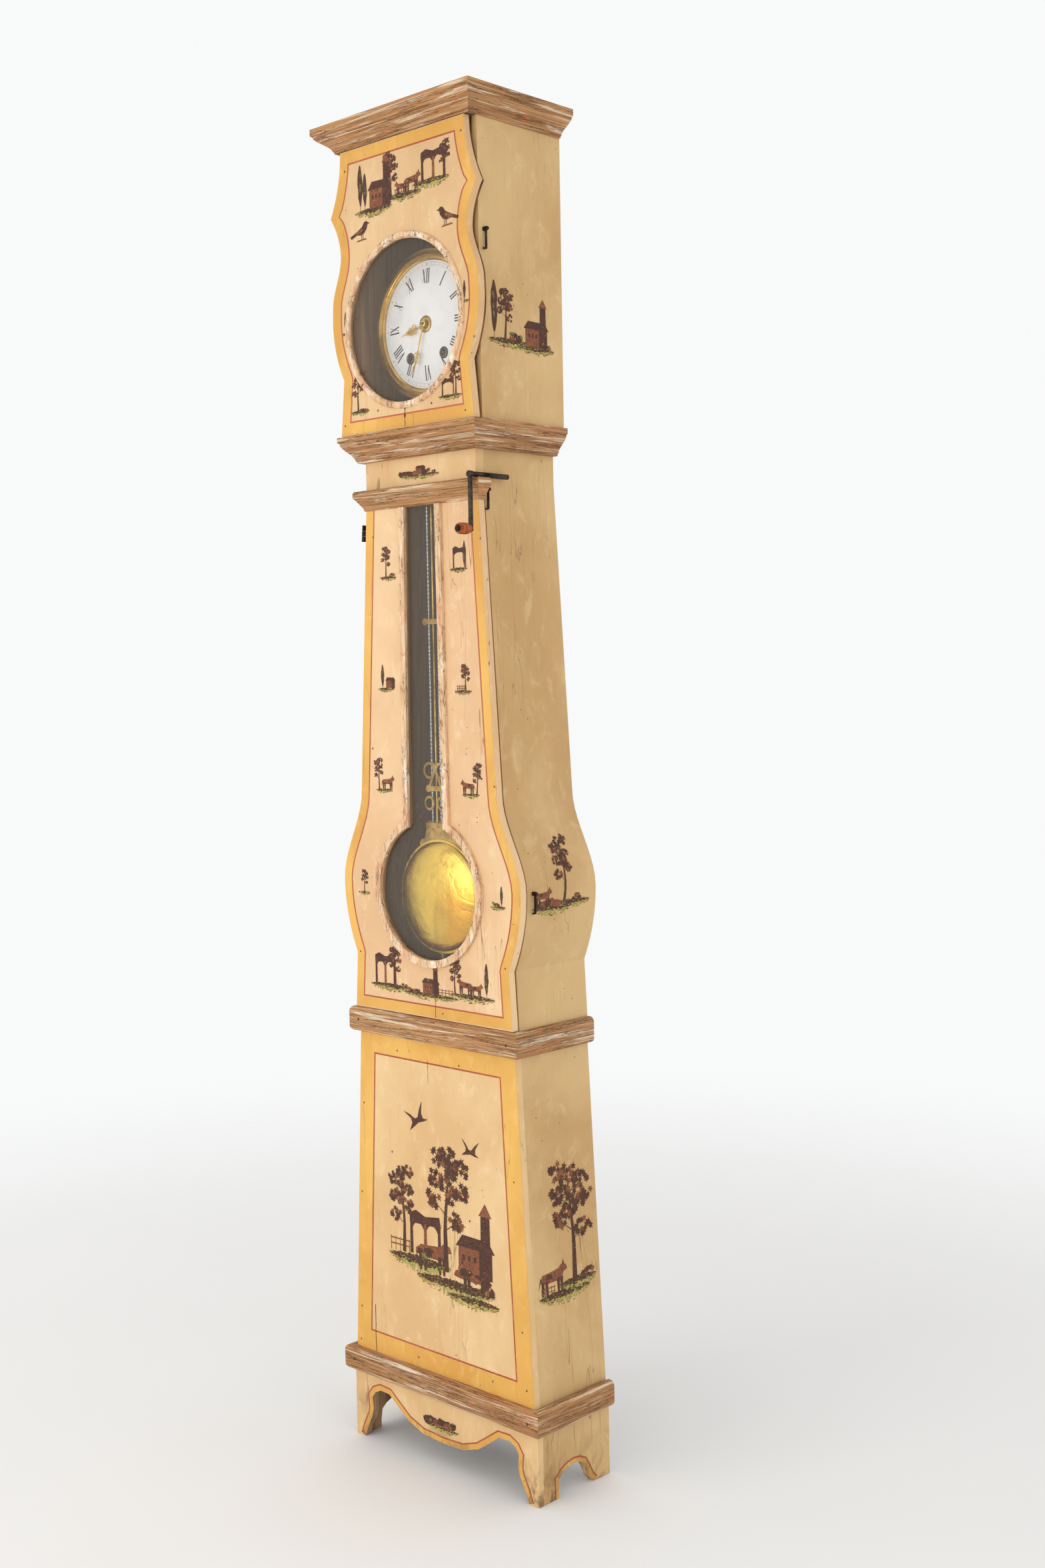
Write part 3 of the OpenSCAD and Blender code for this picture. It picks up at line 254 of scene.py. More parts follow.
def worn_wood(name, hw=None, front_y=None, scale=1.0, s=0.0, tones=BELT_TONES, patchy=0.35):
    """Mouldings whose red and ochre paint is rubbed down to streaks along the grain; s is the seed.
    With hw and front_y the grain turns at the mitred corners of a moulding round three sides."""
    look = Look(name, rough=0.68, specular=0.3)
    if hw is not None:
        x, y, z = look.axis("X"), look.axis("Y"), look.axis("Z")
        out_side = look.minus(look.calc("ABSOLUTE", x), hw * mm)
        out_front = look.minus(front_y * mm, y)
        side = look.calc("GREATER_THAN", out_side, out_front)
        turn = look.times(side, look.minus(y, x))
        joined = look.add("ShaderNodeCombineXYZ")
        look.link(look.plus(x, turn), joined.inputs["X"])
        look.link(look.minus(y, turn), joined.inputs["Y"])
        look.link(z, joined.inputs["Z"])
        look.place = joined.outputs["Vector"]
        wide, thin_scale = (4, 120, 120), (9, 420, 420)
    else:
        wide, thin_scale = (60 * scale, 60 * scale, 9), (260 * scale, 260 * scale, 26)
    streak = look.noise(wide, 6, 0.7, 0.9, s)
    thin = look.noise(thin_scale, 5, 0.7, 0.4, (s, 3, s))
    patch = look.noise(22, 6, 0.66, 1.2, (s, s, 4))
    low, mid, red, light, white = (srgb(*tone) for tone in tones)
    col = look.over(low, mid, streak, 0.36, 0.62)
    col = look.over(col, red, patch, 0.54, 0.66, patchy)
    col = look.over(col, light, thin, 0.5, 0.68, 0.75)
    pale = look.noise(wide, 5, 0.7, 0.8, (9, s, s))
    col = look.over(col, white, pale, 0.52, 0.64, 0.9)
    dark = look.near(look.noise(wide, 5, 0.66, 0.5, (s, 11, s)), 0.5, 0.011)
    col = look.mix(look.times(dark, 0.75), col, srgb(88, 52, 32))
    spot = look.step(look.cells(95, (s, 1, s)), 0.07, 0.1, 1.0, 0.0)
    spot = look.times(spot, look.step(look.noise(11, 2, 0.5, 0, s), 0.55, 0.62))
    col = look.mix(spot, col, WORM)
    look.colour(col)
    height = look.minus(look.plus(thin, streak), look.plus(dark, spot))
    look.bump(height, 0.0013, 0.75)
    return look.mat


def raw_wood(name, light, dark, seed, along=(60, 60, 3)):
    look = Look(name, rough=0.75, specular=0.25)
    light, dark = srgb(*light), srgb(*dark)
    a = look.noise(along, 6, 0.65, 0.7, seed)
    b = look.noise(tuple(4 * v for v in along), 4, 0.6, 0.2, (seed, 2, seed))
    col = look.over(dark, light, a, 0.36, 0.64)
    col = look.over(col, dark, b, 0.52, 0.75, 0.5)
    look.colour(col)
    look.bump(look.plus(a, look.times(b, 0.5)), 0.0012, 0.6)
    return look.mat


def metal(name, light, dark, rough, tarnish, scale, seed):
    look = Look(name, rough=rough, metal=1.0)
    light, dark = srgb(*light), srgb(*dark)
    a = look.noise(scale, 5, 0.62, 0.5, seed)
    b = look.noise(scale * 0.22, 4, 0.55, 0.6, (seed, 5, seed))
    col = look.over(light, dark, a, 0.35, 0.7, tarnish)
    col = look.over(col, dark, b, 0.45, 0.7, tarnish)
    look.colour(col)
    look.roughness(look.step(b, 0.3, 0.75, rough * 0.75, min(1.0, rough * 1.7)))
    look.bump(a, 0.0004, 0.4)
    return look.mat


CREAM = paint("cream_paint", (226, 192, 140), (212, 172, 118), (236, 210, 168), 0.0)
DOOR_CREAM = paint("cream_paint_doors", (220, 184, 135), (205, 163, 114), (231, 203, 163), 4.0, 1.1, 150)
TRUNK_CREAM = paint("cream_paint_trunk", (230, 194, 148), (216, 174, 128), (240, 213, 178), 6.0, 1.1, 128)
TAN = paint("tan_paint", (208, 173, 119), (188, 148, 94), (221, 193, 145), 8.0, 1.0)
OCHRE = paint("ochre_border", (227, 176, 86), (210, 154, 68), (235, 196, 118), 12.0, 0.8)
RED = paint("red_line", (188, 92, 58), (160, 70, 42), (208, 130, 92), 2.0, 1.0)
INSIDE_WOOD = raw_wood("inside_wood", (146, 116, 86), (92, 70, 50), 3.0)
EDGE_WOOD = raw_wood("raw_edge", (128, 84, 50), (52, 32, 20), 6.0)
GRIP_WOOD = raw_wood("handle_wood", (186, 98, 48), (112, 52, 24), 2.0, (190, 190, 24))
IRON = metal("black_iron", (84, 74, 66), (44, 36, 32), 0.55, 0.8, 120, 1.0)
STEEL = metal("grey_steel", (158, 158, 156), (96, 90, 84), 0.35, 0.6, 150, 2.0)
OLD_BRASS = metal("old_brass", (206, 170, 96), (120, 88, 42), 0.34, 0.75, 45, 3.0)
BRIGHT_BRASS = metal("bright_brass", (244, 208, 112), (202, 156, 62), 0.22, 0.5, 60, 4.0)
WHEEL_BRASS = metal("wheel_brass", (212, 172, 90), (150, 112, 52), 0.3, 0.6, 90, 5.0)
BRONZE = metal("bell_bronze", (176, 140, 84), (96, 74, 44), 0.36, 0.6, 30, 6.0)
LEAD = metal("weight_iron", (92, 86, 80), (52, 46, 42), 0.6, 0.8, 80, 7.0)

# Outlines, planes and half widths of the frame, in millimetres
TRUNK_DOOR = [(201, 823, ""), (194.5, 924, "line"), (226, 1058, "out"), (173, 1225, "s"), (141, 1762, "line")]
TRUNK = [(201, 797, ""), (194.5, 924, "line"), (224, 1058, "out"), (172, 1225, "s"), (139, 1762, "line"),
         (139, 1858, "line")]
HOOD_DOOR = [(169, 1859.5, ""), (158.5, 1958, "line"), (185.5, 2062, "out"), (184.5, 2087, "line"),
             (160, 2175, "s"), (185, 2246, "in"), (156, 2356, "out")]
PEDESTAL = [(231, 148, ""), (198, 797, "line")]
APRON = [(213, 0), (203.8, 22), (191, 45), (188, 60), (190, 81), (182, 92), (167, 99), (143, 98), (119, 81),
         (91, 62), (53, 49), (0, 46)]
SIDE_ARCH = [(0, 0), (0, 0.68), (0.12, 0.85), (0.27, 0.96), (0.42, 1), (0.57, 0.96), (0.7, 0.84),
             (0.78, 0.62), (0.88, 0.25), (1, 0)]
ARCH_FRONT, ARCH_WIDE, ARCH_HIGH = 51, 92, 50
FRONT_Y, DOOR_Y, FRIEZE_Y, HOOD_DOOR_Y, TOP_CORNICE_Y = -56.85, -64.25, -66.15, -95.85, -94.65
BASE_HW, WAIST_HW, TRUNK_TOP_HW, DOOR_TOP_HW, HOOD_HW = 236, 201, 139, 143.4, 166
DIAL_Y, DIAL_Z, DIAL_R = -37.85, 2042.0, 110
RODS_X, RODS_Y = 11, -38.85


def ease(kind, t):
    return {"s": t * t * (3 - 2 * t), "in": t * t, "out": 1 - (1 - t) ** 2}.get(kind, t)


def edge(keys, parts=10):
    """Points of an edge through keys: half width, height and the curve of the stretch that ends there."""
    pts = []
    for a, b in zip(keys, keys[1:]):
        n = 1 if b[2] == "line" else parts
        for i in range(n):
            t = i / n
            pts.append((a[0] + (b[0] - a[0]) * ease(b[2], t), a[1] + (b[1] - a[1]) * t))
    return pts + [keys[-1][:2]]


def half_at(pts, z):
    """The half width of an edge at a height."""
    for (xa, za), (xb, zb) in zip(pts, pts[1:]):
        if za <= z <= zb:
            return xa + (xb - xa) * (z - za) / (zb - za)
    return pts[-1][0] if z > pts[-1][1] else pts[0][0]


def spaced(heights, gap, count):
    """The same heights with others between them, about gap apart; count rounds how many."""
    out = []
    for a, b in zip(heights, heights[1:]):
        n = max(1, count((b - a) / gap))
        out += [a + (b - a) * i / n for i in range(n)]
    return out + heights[-1:]


def inset(line, by):
    """An open line moved to its left by a distance, with mitred corners."""
    out = []
    for i, b in enumerate(line):
        normals = []
        for p, q in ((line[max(i - 1, 0)], b), (b, line[min(i + 1, len(line) - 1)])):
            d = math.hypot(q[0] - p[0], q[1] - p[1])
            if d > 1e-6:
                normals.append(((p[1] - q[1]) / d, (q[0] - p[0]) / d))
        nx = sum(v[0] for v in normals) / len(normals)
        nz = sum(v[1] for v in normals) / len(normals)
        size = nx * nx + nz * nz
        out.append((b[0] + nx / size * by, b[1] + nz / size * by))
    return out


def rect(u0, v0, u1, v1):
    return [(u0, v0), (u1, v0), (u1, v1), (u0, v1)]


def disc(u, v, r, n):
    return [(u + r * math.cos(2 * math.pi * i / n), v + r * math.sin(2 * math.pi * i / n)) for i in range(n)]


# Pieces
def shown(name, verts, faces, materials, body, smooth=False, looks=None):
    """A piece of the scene; looks gives the number of each face's material."""
    data = bpy.data.meshes.new(name)
    data.from_pydata(verts, [], faces)
    for material in materials:
        data.materials.append(material)
    if looks:
        data.polygons.foreach_set("material_index", looks)
    data.polygons.foreach_set("use_smooth", [smooth] * len(data.polygons))
    obj = linked(name, data)
    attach(obj, body)
    return obj


# Inks of the small country scenes, which are in the manner of old coloured prints
def print_ink(name, dark, light, seed):
    look = Look(name, rough=0.62, specular=0.35)
    dark, light = srgb(*dark), srgb(*light)
    fine = look.noise(330, 4, 0.6, 0.8, (seed, 1, 2))
    soft = look.noise(70, 4, 0.6, 0.8, (seed, 4, 2))
    col = look.over(dark, light, fine, 0.4, 0.62, 0.75)
    col = look.over(col, light, soft, 0.5, 0.7, 0.6)
    worn = look.step(look.noise(160, 5, 0.7, 0.6, (seed, 9, 9)), 0.64, 0.72, 0, 0.8)
    look.colour(look.mix(worn, col, srgb(222, 190, 146)))
    look.bump(fine, 0.0002, 0.3)
    return look.mat


INK_MAT = print_ink("print_dark_brown", (58, 34, 24), (98, 56, 36), 1.0)
RUST_MAT = print_ink("print_red_brown", (108, 58, 36), (150, 92, 56), 3.0)
GRASS_MAT = print_ink("print_olive", (146, 138, 62), (196, 176, 104), 5.0)
MOSS_MAT = print_ink("print_moss", (92, 98, 46), (142, 134, 68), 7.0)

# Materials of a painted board with their numbers, and how far each kind of paint stands proud, in millimetres
BOARD_MATS = [OCHRE, RED, INK_MAT, RUST_MAT, GRASS_MAT, MOSS_MAT]
OCHRE_I, RED_I, INK, RUST, GRASS, MOSS = range(6)
OCHRE_LIFT, RED_LIFT, PRINT_LIFT, CRACK_LIFT, CHIP_LIFT = 0.22, 0.34, 0.45, 0.62, 0.66
# Shapes of one kind lie on each other in thin steps, so that none shares a plane with its neighbour
LAYER, LAYERS = 0.0007, 80


class Painted:
    """Thin painted shapes on a board; points are (across, up) in millimetres."""

    def __init__(self, place, materials=BOARD_MATS):
        self.place, self.materials = place, materials
        self.verts, self.faces, self.looks = [], [], []
        self.step = 0

    def face(self, corners, look):
        self.faces.append(tuple(corners))
        self.looks.append(look)

    def flat(self, pts, look, lift):
        first = len(self.verts)
        self.verts += [self.place(u, v, lift) for u, v in pts]
        self.face(range(first, len(self.verts)), look)

    def shape(self, pts, look, lift):
        self.step += 1
        self.flat(pts, look, lift + LAYER * (self.step % LAYERS))

    def band(self, line, near, far, look, lift):
        """A strip along a line, between two distances to its left."""
        first, n = len(self.verts), len(line)
        self.verts += [self.place(u, v, lift) for u, v in inset(line, near) + inset(line, far)]
        for i in range(first, first + n - 1):
            self.face((i, i + 1, n + i + 1, n + i), look)

    def borders(self, pts, z0, z1, near, mid, far, head=True):
        """An ochre border inside the edges of a board, and a red line inside the border."""
        self.edging(pts, z0, z1, near, mid, OCHRE_I, OCHRE_LIFT, head)
        self.edging(pts, z0, z1, mid, far, RED_I, RED_LIFT, head)

    def edging(self, pts, z0, z1, near, far, look, lift, head):
        """A line of even width inside both edges of a board, along its foot, and along its head if wanted."""
        fine = spaced(spaced([z0] + [z for _, z in pts if z0 < z < z1] + [z1], 40, int), 7, round)
        fine = [z for z in fine if z0 + near <= z <= z1 - near * head]
        fine = [z0 + near] + fine + ([z1 - near] if head else [])

        def at(z, by):
            low, high = max(z - 9, z0), min(z + 9, z1)
            slope = (half_at(pts, high) - half_at(pts, low)) / (high - low)
            return half_at(pts, z) - by * math.sqrt(1 + slope * slope)

        for sign in (1, -1):
            first = len(self.verts)
            for z in fine:
                self.verts += [self.place(sign * at(z, by), z, lift) for by in (near, far)]
            for k in range(first, len(self.verts) - 2, 2):
                self.face((k, k + 1, k + 3, k + 2), look)
        for low, high in [(z0 + near, z0 + far)] + ([(z1 - far, z1 - near)] if head else []):
            a, b = at(low, near + 0.5), at(high, near + 0.5)
            self.flat([(-a, low), (a, low), (b, high), (-b, high)], look, lift - 0.004)

    def crack(self, x, z0, z1, seed, width=0.9):
        """A drying crack along the grain."""
        r = random.Random(seed)
        zs = [z0 + (z1 - z0) * i / 9 for i in range(10)]
        xs = [x + r.uniform(-0.6, 0.6) for _ in zs]
        wide = [width * r.uniform(0.35, 0.7) for _ in zs]
        left, right = ([(a + side * w, z) for a, w, z in zip(xs, wide, zs)] for side in (-1, 1))
        self.shape(left + right[::-1], INK, CRACK_LIFT)

    def chips(self, spots, w, h, seed):
        """Small flakes of lost paint."""
        for k, (x, z) in enumerate(spots):
            r = random.Random(seed + k)
            self.shape([(x + w * r.uniform(0.6, 1.2) * a, z + h * r.uniform(0.6, 1.2) * b)
                        for a, b in disc(0, 0, 1, 10)], INK, CHIP_LIFT)

    def finish(self, name, body):
        shown(name, self.verts, self.faces, self.materials, body, looks=self.looks)


def front(y):
    return lambda u, v, lift: (u * mm, (y - lift) * mm, v * mm)


def flank(pts, sign):
    """The outer face of a side board with the outline pts; across runs from front to back."""
    return lambda u, v, lift: (sign * (half_at(pts, v) + lift) * mm, u * mm, v * mm)


class Scene:
    """Draws motifs on a painted board. Their places and sizes are in millimetres; size enlarges them all."""

    def __init__(self, board, seed, size=1.35):
        self.board, self.rng, self.size = board, random.Random(seed), size

    def put(self, pts, look=INK, lift=PRINT_LIFT):
        self.board.shape(pts, look, lift)

    def drawer(self, x, z, w, h):
        """Puts shapes whose points are shares of a width and a height."""
        w, h = w * self.size, h * self.size

        def draw(pts, look=INK, lift=PRINT_LIFT):
            self.put([(x + w * a, z + h * b) for a, b in pts], look, lift)

        return draw

    def blob(self, x, z, rx, rz, look, rough, n, lift=PRINT_LIFT):
        spread = [1 + self.rng.uniform(-rough, rough) for _ in range(n)]
        rim = zip(disc(0, 0, 1, n), spread)
        self.put([(x + rx * s * a, z + rz * s * b) for (a, b), s in rim], look, lift)

    def ground(self, x0, x1, z, thick):
        """A dark bank with loose grass under it and single blades."""
        thick *= self.size
        r = self.rng
        n = max(10, int((x1 - x0) / 3))
        xs = [x0 + (x1 - x0) * i / n for i in range(n + 1)]
        crown = [max(0.0, math.sin(math.pi * i / n)) ** 0.6 for i in range(n + 1)]
        for low, high, look, lift in ((-1.15, 0.1, GRASS, 0.37), (-0.55, 0.42, INK, 0.39)):
            top = [(x, z + c * thick * r.uniform(0.6, 1) * high) for x, c in zip(xs, crown)]
            foot = [(x, z + c * thick * r.uniform(0.35, 1) * low) for x, c in zip(xs, crown)]
            self.put(top + foot[::-1], look, lift)
        for i in range(2 * n):
            x = x0 + (x1 - x0) * (i / 2 + r.random()) / (n + 1)
            c = max(0.0, math.sin(math.pi * (x - x0) / (x1 - x0))) ** 0.6
            w, h = r.uniform(1.5, 4.5), r.uniform(0.5, 1.3)
            y = z + c * thick * r.uniform(-1.1, 0.3)
            tuft = [(x - w, y), (x - w * 0.2, y - h), (x + w, y + 0.4), (x, y + h)]
            self.put(tuft, r.choice((MOSS, MOSS, GRASS, RUST, INK)), 0.43)
            if r.random() < 0.5:
                tip = r.uniform(0.2, 0.7) * thick * r.choice((1, -1, 1))
                blade = [(x - 0.35, y), (x + 0.35, y), (x + r.uniform(-0.4, 0.4) * thick, y + tip)]
                self.put(blade, r.choice((GRASS, MOSS)), 0.48)

    def leaf_mass(self, x, z, rx, rz, bits, leaf):
        """A clump of foliage with ragged leaves at its edge."""
        r = self.rng
        for _ in range(bits):
            a, d = r.uniform(0, 2 * math.pi), math.sqrt(r.random())
            bx, bz = x + math.cos(a) * d * rx, z + math.sin(a) * d * rz
            turn = r.uniform(0, 2 * math.pi)
            reach = [(1.0 if i % 2 else 0.5) * r.uniform(0.75, 1.15) * leaf for i in range(12)]
            star = [(bx + q * math.cos(turn + math.pi * i / 6), bz + q * math.sin(turn + math.pi * i / 6))
                    for i, q in enumerate(reach)]
            self.put(star, RUST if r.random() < 0.2 else INK, PRINT_LIFT + 0.05 * r.random())

    def tree(self, x, z, h, lean=0.0, full=1.0):
        """A bent trunk with six side boughs and a crown; full widens its foliage."""
        h *= self.size
        r = self.rng
        w = 0.02 * h
        mid_x, tip_x, tip_z = x + lean * h * 0.3 + r.uniform(-1, 1) * 0.03 * h, x + lean * h, z + 0.86 * h
        line = []
        for i in range(9):
            t = i / 8
            a = x + (mid_x - x) * min(1, t / 0.44) + (tip_x - mid_x) * max(0.0, (t - 0.44) / 0.56)
            line.append((a, z + (tip_z - z) * t, w * (1.4 - 1.1 * t)))
        for (xa, za, wa), (xb, zb, wb) in zip(line, line[1:]):
            self.put([(xa - wa, za), (xa + wa, za), (xb + wb, zb), (xb - wb, zb)])
        side = r.choice((-1, 1))
        for a in (0.34, 0.44, 0.54, 0.64, 0.74, 0.84):
            side = -side
            bx, bz = x + lean * h * a, z + a * h
            reach = side * (0.2 - 0.13 * abs(a - 0.5)) * r.uniform(0.75, 1.15) * h * full
            ex, ez = bx + reach * 0.75, bz + abs(reach) * 0.55
            self.put([(bx - w * 0.4, bz), (bx + w * 0.4, bz), (ex, ez)])
            self.leaf_mass(ex, ez, 0.085 * h * full, 0.07 * h, 18, 0.034 * h)
        self.leaf_mass(tip_x, tip_z + 0.03 * h, 0.08 * h * full, 0.1 * h, 26, 0.034 * h)
        self.leaf_mass(tip_x, z + 0.68 * h, 0.1 * h * full, 0.13 * h, 30, 0.036 * h)

    def cypress(self, x, z, h):
        h *= self.size
        r = self.rng
        n = 9
        outline = []
        for side, steps in ((-1, range(n + 1)), (1, range(n, -1, -1))):
            for i in steps:
                swell = math.sin(math.pi * (i + 0.6) / (n + 1.2)) * r.uniform(0.8, 1.2)
                outline.append((x + side * 0.085 * h * swell, z + h * (0.1 + 0.9 * i / n)))
        self.put(rect(x - 0.4, z, x + 0.4, z + 0.12 * h))
        self.put(outline)
        for _ in range(6):
            at = x + r.uniform(-0.03, 0.03) * h, z + h * r.uniform(0.25, 0.8)
            self.blob(*at, 0.012 * h, 0.05 * h, MOSS, 0.4, 9, 0.5)

    def bush(self, x, z, w):
        w *= self.size
        r = self.rng
        for _ in range(7):
            at = x + r.uniform(-0.4, 0.4) * w, z + r.uniform(0.08, 0.34) * w
            look = r.choice((INK, INK, RUST, MOSS))
            self.blob(*at, 0.16 * w, 0.13 * w, look, 0.35, 10, 0.46 + 0.03 * r.random())

    def rocks(self, x, z, w):
        w *= self.size
        for k in range(6):
            at = x + w * (k - 2.5) / 6, z + self.rng.uniform(0, 0.1) * w
            self.blob(*at, 0.15 * w, 0.1 * w, self.rng.choice((INK, RUST, INK)), 0.3, 9)

    def house(self, x, z, w, h, tower=False):
        draw = self.drawer(x, z, w, h)
        draw(rect(0, 0, 1, 0.6), RUST)
        draw([(-0.08, 0.58), (1.08, 0.58), (0.9, 0.82), (0.12, 0.84)])
        draw(rect(0.62, 0, 1, 0.58), INK, 0.5)
        for k in range(3):
            a = 0.12 + 0.17 * k
            draw(rect(a, 0.3, a + 0.07, 0.42), INK, 0.55)
        if tower:
            draw([(0.66, 0), (0.96, 0), (0.94, 1.35), (0.68, 1.35)], INK, 0.52)
            draw([(0.62, 1.34), (1, 1.34), (0.81, 1.62)], RUST, 0.55)

    def arches(self, x, z, w, h, n):
        """A broken wall on n arches."""
        draw = self.drawer(x, z, w, h)
        draw([(0, 0.72), (1, 0.76), (0.96, 1), (0.5, 0.93), (0.2, 1.04), (0, 0.95)])
        for i in range(n + 1):
            p = 0.9 * i / n
            draw([(p, 0), (p + 0.1, 0), (p + 0.09, 0.76), (p + 0.01, 0.76)], RUST if i % 2 else INK)
            if i < n:
                a, gap = p + 0.08, 0.9 / n - 0.07
                draw([(a, 0.77), (a, 0.6), (a + gap * 0.16, 0.7), (a + gap * 0.42, 0.77)], INK, 0.44)
                a += gap
                draw([(a, 0.77), (a - gap * 0.42, 0.77), (a - gap * 0.16, 0.7), (a, 0.6)], INK, 0.44)

    def cattle(self, x, z, s, way):
        draw = self.drawer(x, z, way * s, s)
        draw([(-0.5, 0.42), (-0.42, 0.62), (-0.1, 0.64), (0.28, 0.68), (0.4, 0.78), (0.6, 0.74), (0.66, 0.6),
              (0.5, 0.55), (0.42, 0.4), (0.3, 0.34), (-0.3, 0.34)], RUST)
        for a in (-0.44, -0.28, 0.22, 0.36):
            draw([(a, 0), (a + 0.07, 0), (a + 0.1, 0.42), (a - 0.03, 0.42)])
        draw([(0.44, 0.76), (0.5, 0.92), (0.53, 0.76)], INK, 0.5)
        draw([(-0.5, 0.58), (-0.6, 0.2), (-0.47, 0.5)], INK, 0.5)
        s *= self.size
        self.blob(x - way * s * 0.12, z + s * 0.52, 0.14 * s, 0.08 * s, INK, 0.4, 9, 0.5)

    def fence(self, x, z, w, h):
        w, h = w * self.size, h * self.size
        for i in range(5):
            px = x + w * i / 4
            self.put([(px, z), (px + 1.1, z), (px + 0.9, z + h), (px, z + h * 0.95)])
        for f in (0.4, 0.78):
            self.put([(x - 1, z + h * f), (x + w + 2, z + h * (f + 0.04)), (x + w + 2, z + h * (f + 0.12)),
                      (x - 1, z + h * (f + 0.09))], RUST)

    def bird(self, x, z, s, way):
        """A bird on a twig."""
        draw = self.drawer(x, z, way * s, s)
        draw([(-1.0, -0.1), (-0.35, 0.14), (0.1, 0.36), (0.3, 0.62), (0.5, 0.66), (0.62, 0.56), (0.82, 0.5),
              (0.6, 0.44), (0.52, 0.2), (0.3, -0.04), (0.0, -0.14), (-0.4, -0.08), (-0.9, -0.26)])
        draw([(-0.6, 0.0), (0.0, 0.26), (0.22, 0.2), (0.0, 0.02), (-0.4, -0.06)], RUST, 0.5)
        for a in (0.02, 0.16):
            draw([(a, -0.1), (a + 0.05, -0.1), (a + 0.03, -0.42), (a, -0.42)])
        self.drawer(x, z, s, s)([(-0.45, -0.5), (0.5, -0.46), (0.42, -0.38), (-0.3, -0.4)], RUST)

    def flying(self, x, z, s, turn):
        pts = [(-1, 0.5), (-0.55, 0.3), (-0.15, 0.02), (0.1, 0.08), (0.3, 0.5), (0.62, 0.95), (0.42, 0.3),
               (0.5, 0.0), (0.9, -0.1), (0.5, -0.18), (0.1, -0.22), (-0.3, -0.42), (-0.7, -0.62), (-0.4, -0.2),
               (-0.45, 0.05)]
        c, q = math.cos(turn), math.sin(turn)
        self.drawer(x, z, s, s)([(a * c - b * q, a * q + b * c) for a, b in pts])


# Finishes of the frame's own solids
def dress(material, *names):
    for n in names:
        for slot in nodes[n].material_slots:
            slot.material = material


dress(CREAM, "base_front_board", "pedestal_front_board", "frieze_board")
dress(DOOR_CREAM, "hood_door_board")
dress(TRUNK_CREAM, "trunk_door_board")
dress(TAN, "base_side_boards", "pedestal_side_boards", "trunk_side_boards", "hood_side_boards")
MOULDINGS = (("lower_belt", BASE_HW, FRONT_Y), ("middle_belt", WAIST_HW, FRONT_Y),
             ("waist_cornice", TRUNK_TOP_HW, FRIEZE_Y), ("top_cornice", HOOD_HW, TOP_CORNICE_Y),
             ("trunk_door_cornice", DOOR_TOP_HW, DOOR_Y))
for k, (mould, hw, mould_front) in enumerate(MOULDINGS):
    dress(worn_wood("worn_" + mould, hw, mould_front, s=1.7 * k), mould)
dress(worn_wood("worn_window_mould", s=3.1, tones=RING_TONES, patchy=0.6), "trunk_window_mould")
dress(worn_wood("worn_ring_mould", scale=0.5, s=6.3, tones=RING_TONES, patchy=0.6), "hood_ring_mould")
dress(EDGE_WOOD, "hood_door_strip", "trunk_door_strip")
dress(INSIDE_WOOD, "back_board", "seat_board", "roof_board")
dress(IRON, "case_hinge_leaves", "hook_pins", "hood_door_leaves", "trunk_door_leaves", "hood_hook",
      "trunk_hook_upper", "trunk_hook_lower", "crank_key", "dial_feet", "movement_cage", "top_brackets",
      "bell_hammer")
dress(GRIP_WOOD, "crank_handle")
dress(metal("dial_brass", (232, 192, 104), (150, 110, 50), 0.27, 0.6, 40, 9.0), "dial_surround")
dress(OLD_BRASS, "pendulum_brasses")
dress(STEEL, "arbor_bars", "minute_arbor", "anchor_crutch", "pendulum_rods", "rating_nut")
dress(WHEEL_BRASS, "hour_wheel", "minute_wheel", "going_great_wheel", "going_intermediate_wheel",
      "third_wheel", "escape_wheel")
dress(raw_wood("drum_wood", (150, 108, 66), (96, 64, 38), 9.0), "going_drum", "strike_drum")
HEMP = raw_wood("hemp_rope", (206, 180, 132), (140, 112, 72), 5.0, (300, 300, 120))
dress(HEMP, "going_rope", "strike_rope")
dress(BRONZE, "bell")
dress(LEAD, "going_weight", "strike_weight")
dress(BRIGHT_BRASS, "minute_hand", "hour_hand")

enamel = Look("white_enamel", rough=0.16, coat=0.6)
cloud = enamel.noise(26, 5, 0.6, 0.8)
crazed = enamel.near(enamel.noise(22, 3, 0.6, 1.6, 3), 0.5, 0.0035)
tone = enamel.over(srgb(250, 250, 249), srgb(242, 243, 243), cloud, 0.4, 0.7)
tone = enamel.mix(enamel.times(crazed, enamel.step(cloud, 0.5, 0.62, 0, 0.35)), tone, srgb(160, 150, 138))
enamel.colour(tone)
enamel.bump(cloud, 0.0003, 0.2)
dress(enamel.mat, "dial_enamel")

# The bob: beaten brass with reddish and brown clouds, and painted light: a painted shade darkening it towards
# its left rim, bright in the middle, and a painted warm reflection on its lower right
bob = Look("beaten_brass", rough=0.3, metal=1.0)
wave = bob.noise(11, 4, 0.55, 1.2, 2)
small = bob.noise(60, 4, 0.55, 1.0, (5, 2, 2))
across, height = bob.axis("X"), bob.axis("Z")
painted_light_ramp = bob.plus(across, bob.times(bob.minus(wave, 0.5), 0.12))
# Painted shade: dark olive towards the left rim, bright gold from the middle rightwards
tone = bob.over(srgb(172, 148, 66), srgb(240, 202, 88), painted_light_ramp, -0.09, -0.01)
tone = bob.over(tone, srgb(206, 154, 56), small, 0.48, 0.75, 0.2)
